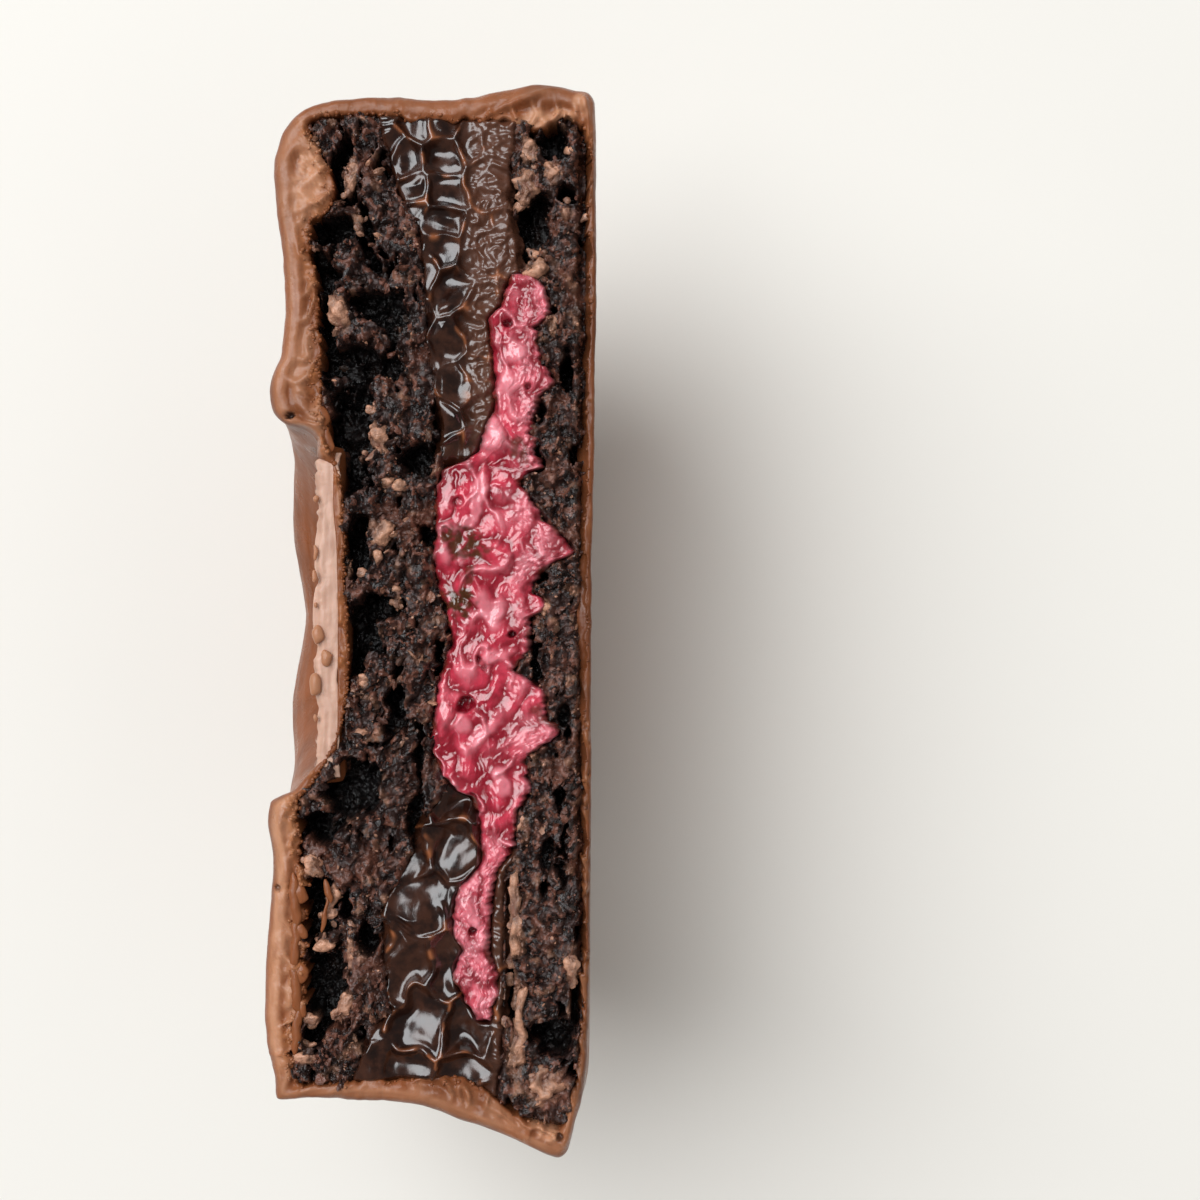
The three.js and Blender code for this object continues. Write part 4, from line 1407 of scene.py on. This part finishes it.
MEDALLION_DROPS = spots(
    (-6.83, -1.24, 0.36, 0.66, 0, 0.9), (-6.34, -2.67, 0.33, 0.5, 10, 0.9),
    (-7.0, -4.3, 0.36, 0.72, -5, 0.9), (-6.9, 7.2, 0.2, 0.26, 0, 0.8), (-7.0, 3.9, 0.16, 0.5, 0, 0.8),
    (-7.05, 2.4, 0.14, 0.4, 0, 0.8), (-6.95, 0.6, 0.15, 0.22, 0, 0.8), (-7.0, -6.4, 0.16, 0.3, 0, 0.8),
)
LIP_DROPS = spots(
    (-8.25, -17.7, 0.36, 1.8, 5, 0.8), (-8.25, -20.4, 0.32, 1.9, -4, 0.8), (-8.2, -23.1, 0.34, 1.8, 4, 0.8),
    (-8.15, -25.8, 0.3, 1.5, -5, 0.8), (-7.9, -17.3, 0.42, 0.6, 10, 0.6), (-7.85, -19.6, 0.34, 0.5, 0, 0.6),
    (-7.85, -22.2, 0.38, 0.6, -10, 0.6), (-7.8, -24.5, 0.3, 0.5, 0, 0.6), (-6.2, -17.2, 0.2, 0.8, 14, 0.8),
    (-6.4, -18.6, 0.16, 1.0, -8, 0.8), (-6.65, 12.2, 0.5, 0.75, 0, 0.5), (-6.2, 10.9, 0.32, 0.8, 15, 0.5),
)


# ---- The fillings ----


@dataclass
class ChocolateFilling:
    """Glossy dark filling in two patches, one at each end of the berry, joined round the axis."""

    rows: int = 270
    columns: int = 84
    starts: tuple[float, float] = (9.0, 9.2)  # how far from the axis the patches start, high and low
    level: float = -0.3
    pool: float = 3.0  # width of the pools at the low end
    tile: float = 2.1  # and of the tiles at the high end
    rope_high: float = 0.3
    tuck_deep: float = 1.1  # how far it is sunk along its sides
    tuck_reach: float = 0.55
    end_deep: float = 0.9  # and at its ends
    berry_deep: float = 1.3  # and under the berry filling

    @staticmethod
    def lobes(field_of: Cells, seed: int) -> Array:
        """Smooth bowls, each leaning its own way, that meet at equal heights."""
        inner = 1 - field_of.border(0.42)
        return inner * (0.45 * (field_of.pick - 0.5) + 1.5 * field_of.tilt(seed)) + 0.8 * field_of.near ** 2

    def relief(self, x: Array, y: Array) -> tuple[Array, dict[str, Array]]:
        """The height of the filling over its level, and its looks."""
        low = y < 0
        warp_x, warp_y = warped(x, y, (0.4, 2.6), (0.14, 1.1), 41)
        pool_x, pool_y = warp_x + 0.6 * noise(x, y, 1.9, 55), warp_y + 0.6 * noise(x, y, 1.9, 56)
        pools = cells(pool_x, pool_y, self.pool, 45, 1.1)
        tiles = cells(warp_x, warp_y, self.tile, 46, 1.1)
        rope = np.where(low, pools.border(0.11), tiles.border(0.15))
        rope = rope * rise(noise(x, y, 1.8, 52), -0.55, 0.05)
        height = np.where(low, self.lobes(pools, 1), 0.8 * self.lobes(tiles, 2)) + self.rope_high * rope
        dry = rise(x, 1.9, 3.1) * rise(y, 9, 13)
        dry = np.maximum(dry, rise(x, 3.6, 4.3) * rise(-y, 12, 16) * 0.7)
        wrinkle = np.abs(noise(warp_x * 0.7 + 0.5 * warp_y, warp_y - 0.3 * warp_x, 0.85, 47))
        wrinkle = 0.32 * (1 - np.minimum(wrinkle, 0.7)) ** 2 + 0.22 * np.abs(noise(warp_x, warp_y, 0.45, 53))
        height = mix(height, 0.5 * height + wrinkle - 0.12, dry)
        height += 0.08 * fractal(x, y, 1.6, 48, 2) + 0.2 * noise(x, y, 4, 49)
        ridge = rope ** 3 * rise(noise(x, y, 0.9, 50), -0.1, 0.4)
        ridge = np.maximum(ridge, 0.7 * dry * rise(wrinkle, 0.4, 0.5) * rise(noise(x, y, 1.1, 54), 0, 0.4))
        return height, {"ridge": ridge, "dry": dry}

    def place(self, a: Array, b: Array) -> Surface:
        """The face for add_patch, where a runs from 0 where a patch starts to 1 at the coating."""
        high = (a > 0) | ((a == 0) & ~np.signbit(a))
        first = np.where(high, *self.starts)
        way, side = np.abs(a), np.where(high, 1.0, -1.0)
        y = side * mix(first, END_GUESS, way)
        for _ in range(2):
            left = along(BISCUIT_TO_FILLING, y) - 0.25
            right = along(FILLING_TO_BISCUIT, y) + 0.1
            x = mix(left, right, b)
            y = side * mix(first, end_limit(x, high), way)
        wander = 0.22 * fractal(x, y, 1.2, 51, 3)
        width = right - left
        x = x + wander * (1 - rise(b * width, 0, 1.2)) + wander * (1 - rise((1 - b) * width, 0, 1.0))
        height, looks = self.relief(x, y)
        start = 1 - rise(way * 20, 0, 0.8)
        from_end = end_limit(x, high) - np.abs(y)
        z = self.level + height + tuck(b, width, self.tuck_deep, self.tuck_reach) - self.end_deep * start
        z = z - self.end_deep * (1 - rise(from_end, 0.15, 0.9)) - self.berry_deep * under_berry(x, y)
        return Surface(x, y, np.minimum(z, PEAK), looks)

    def build(self, material: bpy.types.Material) -> bpy.types.Object:
        """Makes the filling."""
        bm = blank("ridge", "dry")
        for end in (End.HIGH, End.LOW):
            add_patch(bm, steps(self.rows), steps(self.columns), end, self.place, INSIDE_TURNS,
                      inside_coat(1.0, 1.0))
        weld(bm)
        return finished("chocolate_filling_piece", bm, material, ["chocolate_filling"])


@dataclass
class BerryFilling:
    """The wet pink berry lens, with strands, hollows and torn spikes into the lower biscuit."""

    rows: int = 560
    columns: int = 84
    high_end: float = 21.3
    low_end: float = 25.3
    level: float = 0.0
    edge_drop: float = 1.5
    edge_round: float = 0.55
    # hollows are sunk and darkened with painted shade
    hollows: tuple[Spot, ...] = spots(
        (2.3, -5.55, 0.5, 0.45, 20), (2.3, 9.6, 0.35, 0.25, 0, 0.6), (6.2, 14.2, 0.2, 0.2, 0, 0.5),
        (2.7, -11.3, 0.3, 0.3, 0, 0.5), (2.75, -19.6, 0.25, 0.25, 0, 0.8), (5.2, -1.2, 0.25, 0.2),
        (3.3, -3.0, 0.25, 0.5, 30, 0.6), (4.9, 18.1, 0.3, 0.2, 0, 0.7), (1.9, 7.0, 0.3, 0.3, 0, 0.5),
    )
    stains: tuple[Spot, ...] = spots(
        (2.1, 4.5, 1.5, 0.9, -20, 0.95), (1.9, 0.8, 1.0, 1.0, 0, 1.0), (5.6, 10.2, 0.5, 0.9, 30, 0.7),
        (2.6, 2.6, 0.25, 0.8, 0, 0.7), (6.9, -6.0, 0.5, 0.5, 0, 0.6),
    )
    # smooth raised ribbons, coloured paler: partly the berry's pale strands, partly painted highlight
    ribbons: tuple[Spot, ...] = spots(
        (3.2, 7.75, 0.42, 1.8, -8), (2.5, 5.7, 0.4, 0.45), (3.8, 0.3, 0.75, 1.1, 25),
        (3.9, -2.7, 1.2, 0.42, 20), (3.3, -7.5, 1.3, 0.42, 40), (2.1, -6.8, 0.45, 0.7),
        (1.0, 4.2, 0.35, 0.8, 20), (4.0, 11.7, 0.4, 0.9, 35), (5.3, 16.2, 0.6, 0.9, -10),
        (4.6, -10.4, 0.5, 0.9, 15), (2.6, -18.3, 0.4, 0.7, 20),
    )

    def relief(self, x: Array, y: Array) -> tuple[Array, dict[str, Array]]:
        """The height of the berry filling over its level, and its looks."""
        warp_x, warp_y = warped(x, y, (0.45, 1.6), (0.12, 0.6), 61)
        lobes = np.abs(noise(warp_x, warp_y * 0.7, 1.6, 65))
        rope = band(noise(warp_x, warp_y * 0.55, 1.5, 66), 0.14) * rise(noise(x, y, 2.0, 78), -0.25, 0.35)
        thread = band(noise(warp_x * 1.3, warp_y, 0.8, 79), 0.08)
        blobs = cells(warp_x, warp_y, 0.7, 67).dome(0.85)
        grains = cells(warp_x, warp_y, 0.27, 68)
        torn = rise(x, 4.6, 6.6) * rise(noise(x, y, 2.2, 69) + 0.25, -0.3, 0.5)
        torn = np.maximum(torn, rise(-y, 12, 17) * 0.8)
        glossy = 0.5 * np.minimum(lobes, 0.6) + 0.3 * rope + 0.06 * thread + 0.35 * noise(x, y, 2.6, 70)
        fibrous = 0.18 * grains.dome(0.8) + 0.16 * (grains.pick - 0.5) + 0.14 * blobs + 0.08 * thread
        fibrous += 0.2 * fractal(x, y, 1.5, 71)
        ragged = 0.3 * fractal(x, y, 0.7, 72, 2)
        hollow = strongest(self.hollows, x, y, ragged, 0.3)
        stain = strongest(self.stains, x, y, ragged * 1.6, 0.4)
        ribbon = strongest(self.ribbons, x, y, 0.6 * fractal(x, y, 1.2, 87, 2), 0.4)
        torn = torn * (1 - ribbon)
        height = mix(glossy, fibrous, torn) - 0.9 * hollow - 0.12 * stain
        height = mix(height, 0.5 * glossy + 0.36, 0.7 * ribbon)
        looks = {
            # pale: torn fibres, strands and spots, and on the ribbons partly painted highlight
            "pale": np.clip(torn * (0.2 + 0.6 * grains.pick) + 0.75 * rope * (1 - torn)
                            + 0.2 * rise(noise(x, y, 1.9, 80), 0.1, 0.6) + 0.6 * ribbon, 0, 1),
            # deep: painted shade in the hollows and in the creases between the lobes
            "deep": np.clip(hollow + 0.9 * (1 - rise(lobes, 0.02, 0.32)) * (1 - rope) * (1 - ribbon), 0, 1),
            "stain": np.clip(stain * rise(noise(x, y, 0.5, 73), -0.6, 0.0) + self.fringe(x, y), 0, 1),
            "dry": torn,
        }
        return height, looks

    def fringe(self, x: Array, y: Array) -> Array:
        """Brown along the berry's edge, where the dark filling and crumb have stained it."""
        from_edge = np.minimum(x - along(BERRY_LEFT, y), along(BERRY_RIGHT, y) - x)
        return 0.75 * (1 - rise(from_edge + 0.3 * noise(x, y, 0.8, 85), 0.0, 0.45))

    def place(self, a: Array, b: Array) -> Surface:
        """The face for add_patch."""
        y = np.where(a > 0, a * self.high_end, a * self.low_end)
        wander = 0.28 * noise(y, 0 * y, 1.1, 74)
        left = along(BERRY_LEFT, y) + wander + 0.16 * noise(y, 0 * y + 5, 0.4, 75)
        spiky = 0.45 * noise(y, 0 * y, 0.8, 76) + 0.28 * noise(y, 0 * y + 3, 0.3, 77)
        width = np.maximum(along(BERRY_RIGHT, y) + spiky - left, 0.12)
        x = left + width * b
        height, looks = self.relief(x, y)
        edge = np.minimum(b, 1 - b) * width
        ends = np.minimum(self.high_end - y, y + self.low_end)
        z = self.level + height - self.edge_drop * rounded(np.minimum(edge, ends), self.edge_round)
        return Surface(x, y, np.minimum(z, PEAK), looks)

    def build(self, material: bpy.types.Material) -> bpy.types.Object:
        """Makes the berry filling."""
        bm = blank("pale", "deep", "stain", "dry")
        add_patch(bm, even_steps(self.rows), steps(self.columns), End.BOTH, self.place, quarter_turns(6))
        weld(bm)
        return finished("berry_filling_piece", bm, material, ["berry_filling"])


# ---- The medallion ----


@dataclass
class Medallion:
    """A chocolate disc in the dimple: a rope rim, a ring of beads and a sunburst round a plain boss."""

    radius: float = 10.1
    front: float = -6.9
    back: float = -5.55
    rows: int = 250
    columns: int = 14
    turn_steps: int = 100
    rope_wide: float = 1.0
    rope_high: float = 0.42
    rope_twists: int = 52
    bead_ring: float = 7.75
    bead_count: int = 34
    bead_radius: float = 0.33
    bead_high: float = 0.26
    burst_ring: float = 6.4
    rope_ring: float = 8.75
    ring_high: float = 0.14
    boss: float = 1.9
    boss_high: float = 0.32
    rays: int = 20
    ray_high: float = 0.3
    ray_ends: tuple[float, ...] = (2.2, 2.9, 4.6, 5.9)
    below_cut: float = 0.6  # down to here it has the pale look of the cut

    def design(self, radius: Array, turn: Array) -> Array:
        """How far the front stands out, by the distance from the axis and the angle from the +Y end."""
        rope_at = np.clip(1 - np.abs(radius - (self.radius - 0.6)) / (self.rope_wide / 2), 0, 1)
        twist = 0.75 + 0.25 * np.cos(self.rope_twists * turn + 2.6 * radius)
        rope = self.rope_high * np.sqrt(rope_at) * twist
        nearest = (turn * self.bead_count / math.pi) % 1 - 0.5
        bead_far = np.hypot(nearest * math.pi / self.bead_count * radius, radius - self.bead_ring)
        beads = self.bead_high * dome(bead_far, self.bead_radius)
        line = self.ring_high * (band(radius - self.burst_ring, 0.16) + band(radius - self.rope_ring, 0.14))
        ray = np.clip(np.cos(self.rays * turn), 0, 1) ** 0.8
        burst = self.ray_high * ray * between(radius, *self.ray_ends)
        boss = self.boss_high * dome(radius, self.boss)
        edge = -0.5 * rise(radius, self.radius - 0.16, self.radius)
        return rope + beads + line + burst + boss + edge

    def place(self, a: Array, b: Array) -> Surface:
        """The cut through the medallion, for add_patch."""
        y = a * self.radius
        wander = 0.2 * fractal(0 * y, y, 1.8, 81, 4)
        front = self.front - 0.5 * self.design(np.abs(y), np.where(y > 0, 0.0, math.pi)) + wander
        x = mix(front, self.back + 0.2 * fractal(y, 0 * y, 1.6, 86, 3), b)
        round_off = 0.3 * (1 - rise(b * (self.back - front), 0, 0.4))
        drawn = 0.05 * noise(x * 3, y * 0.4, 0.8, 82) + 0.05 * fractal(x, y, 1.1, 83, 2)
        z = -0.05 - round_off + drawn - 0.5 * rise(np.abs(y), 9.3, 10.1)
        looks = {"pale": 0.75 + 0.25 * noise(x * 3, y * 0.5, 0.9, 84), "grain": 0 * y, "pit_shade": 0 * y}
        return Surface(x, y, z, looks)

    def swell(self, x: Array, radius: Array, turn: Array, tied: dict[str, Array]) -> tuple[Array, Array]:
        """Puts the design on the front.

        Args:
            x, radius: the evenly carried place.
            turn: the angle from the +Y end.
            tied: the tied values; own_x and far_x say how near the front a vertex is.

        Returns:
            The changed x and radius.
        """
        middle = (tied["own_x"] + tied["far_x"]) / 2
        share = np.clip((self.back - middle) / (self.back - self.front), 0, 1)
        fade = rise(np.sin(turn), 0.0, 0.06)
        drawn = mix(self.back, self.front - self.design(radius, turn), share)
        return mix(x, drawn, fade), radius

    def build(self, material: bpy.types.Material) -> bpy.types.Object:
        """Makes the medallion."""
        bm = blank("pale", "grain", "pit_shade")
        angles = quarter_turns(steps(self.turn_steps))
        add_patch(bm, even_steps(self.rows), self.columns, End.BOTH, self.place, angles, self.swell)
        set_values(bm, [vert for vert in bm.verts if vert.co.z < -self.below_cut], {"pale": 0.0})
        weld(bm)
        return finished("medallion_piece", bm, material, ["medallion"])


# ---- Floor, light and camera ----


@dataclass(frozen=True)
class Softbox:
    """A rectangular light that points at the cut, in millimetres and watts."""

    name: str
    place: Colour
    size: tuple[float, float]
    power: float
    tint: Colour = (1.0, 0.985, 0.97)
    reflected: bool = False

    def hang(self) -> None:
        """Adds the light to the scene."""
        lamp = bpy.data.lights.new(self.name, "AREA")
        lamp.shape = "RECTANGLE"
        lamp.size, lamp.size_y = self.size[0] * MM, self.size[1] * MM
        lamp.energy = self.power
        lamp.color = self.tint
        holder = bpy.data.objects.new(self.name, lamp)
        holder.location = Vector(self.place) * MM
        holder.visible_glossy = self.reflected
        aim = Vector((0, 0, AXIS.z)) * MM - holder.location
        holder.rotation_euler = aim.to_track_quat("-Z", "Y").to_euler()
        bpy.context.scene.collection.objects.link(holder)


@dataclass
class Studio:
    """A pale floor, one soft key light, three fills and the camera that looks straight down."""

    lights: tuple[Softbox, ...] = (
        Softbox("key", (-430, 340, 820), (880, 880), 12.7, (0.945, 0.975, 1.0), True),
        Softbox("right", (900, -100, 660), (1600, 1100), 2.4),
        Softbox("near", (100, -950, 620), (1600, 1100), 2.4),
        Softbox("far", (200, 950, 620), (1600, 1100), 1.8),
    )
    world_tint: Colour = (1.0, 0.98, 0.95)
    world_power: float = 0.1
    floor_half: float = 900.0
    camera_over_cut: float = 120.0
    camera_x: float = 10.55
    camera_y: float = 1.29
    frame_wide: float = 74.4  # what the frame shows of the cut's plane
    sensor: float = 36.0

    def build_floor(self, material: bpy.types.Material) -> None:
        """Lays the floor."""
        bm = bmesh.new()
        bmesh.ops.create_grid(bm, x_segments=2, y_segments=2, size=self.floor_half * MM)
        mesh = bpy.data.meshes.new("floor")
        bm.to_mesh(mesh)
        bm.free()
        mesh.materials.append(material)
        floor = bpy.data.objects.new("floor", mesh)
        bpy.context.scene.collection.objects.link(floor)

    def build(self) -> None:
        """Sets up the lights, the surroundings and the camera."""
        for light in self.lights:
            light.hang()
        world = bpy.data.worlds.new("studio")
        world.use_nodes = True
        background = world.node_tree.nodes["Background"]
        background.inputs[0].default_value = (*self.world_tint, 1)
        background.inputs[1].default_value = self.world_power
        scene = bpy.context.scene
        scene.world = world
        scene.view_settings.view_transform = "Standard"
        camera = bpy.data.cameras.new("camera")
        camera.sensor_width = self.sensor
        camera.lens = self.sensor * self.camera_over_cut / self.frame_wide
        camera.clip_start = 1 * MM
        holder = bpy.data.objects.new("camera", camera)
        holder.location = Vector((self.camera_x, self.camera_y, AXIS.z + self.camera_over_cut)) * MM
        scene.collection.objects.link(holder)
        scene.camera = holder


def main() -> None:
    """Builds the part, piece by piece, and the studio round it."""
    logging.basicConfig(level=logging.INFO, format="%(message)s", stream=sys.stdout)
    skin = moist_group()
    coat = CoatFinish("milk_chocolate", 1.6, 0.42, 0.26).material(skin)
    crumb = CrumbFinish("cocoa_crumb", 0.8, 0.46, 0.17).material(skin)
    syrup = SyrupFinish("glossy_filling", 1.2, 0.27, 0.15).material(skin)
    berry = BerryFinish("berry", 1.4, 0.26, 0.14).material(skin)
    coating = Coating()
    coating.build(coat)
    upper = Biscuit("upper_biscuit_piece", "upper_biscuit", rows=690, columns=104,
                    left=lambda y: coat_line(y) - 0.45, right=lambda y: along(BISCUIT_TO_FILLING, y) + 0.7,
                    level=-0.45, lump=1.4, rough=0.7, open_share=0.72, seed=101, holes=UPPER_HOLES,
                    flakes=UPPER_FLAKES)
    lower = Biscuit("lower_biscuit_piece", "lower_biscuit", rows=760, columns=60,
                    left=lambda y: along(LOWER_LEFT, y),
                    right=lambda y: np.minimum(along(COAT_BASE_INSIDE, y) + 0.3, 9.75),
                    level=-0.4, lump=1.1, rough=0.62, open_share=0.66, seed=201, holes=LOWER_HOLES,
                    flakes=LOWER_FLAKES)
    for biscuit in (upper, lower):
        biscuit.build(crumb)
    less = 0 if FINENESS == 1 else 2
    for biscuit, side, seed, fine_sizes, coarse_sizes, coarse_doublings in (
        (upper, "upper", 301, (0.06, 0.22), (0.16, 0.62), 10),
        (lower, "lower", 303, (0.05, 0.18), (0.14, 0.5), 9),
    ):
        ground = anywhere(biscuit)
        Scatter(side + "_crumbs_fine", biscuit.node, ground, 12 - less, *fine_sizes, seed=seed).build(crumb)
        Scatter(side + "_crumbs_coarse", biscuit.node, ground, coarse_doublings - less, *coarse_sizes,
                seed=seed + 1, subdivisions=2, brown_share=0.12, thin=0.35, lift=0.25, jagged=0.55,
                skewed=2.6).build(crumb)
    Scatter("coat_granules", "coating", along_lip(coating), 10 - less, 0.06, 0.2, seed=307, subdivisions=2,
            brown_share=0, thin=0.8, lift=-0.1, jagged=0.25, faceted=False, skewed=1.5).build(coat)
    Shards("upper_shards", upper, UPPER_FLAKES, 305).build(crumb)
    Shards("lower_shards", lower, LOWER_FLAKES, 306).build(crumb)
    Drops("chocolate_drops", "pale", 0.7, 0.12, MEDALLION_DROPS).build(coat)
    Drops("lip_drops", "grain", 0.2, 0.14, LIP_DROPS).build(coat)
    ChocolateFilling().build(syrup)
    BerryFilling().build(berry)
    band_coat = CoatFinish("medallion_chocolate", 1.6, 0.46, 0.30, smeared=(0.77, 0.50, 0.385))
    Medallion().build(band_coat.material(skin))
    studio = Studio()
    studio.build_floor(FloorFinish("paper_floor", 40.0, 0.7, 0.6).material(skin))
    studio.build()


if __name__ == "__main__":
    main()
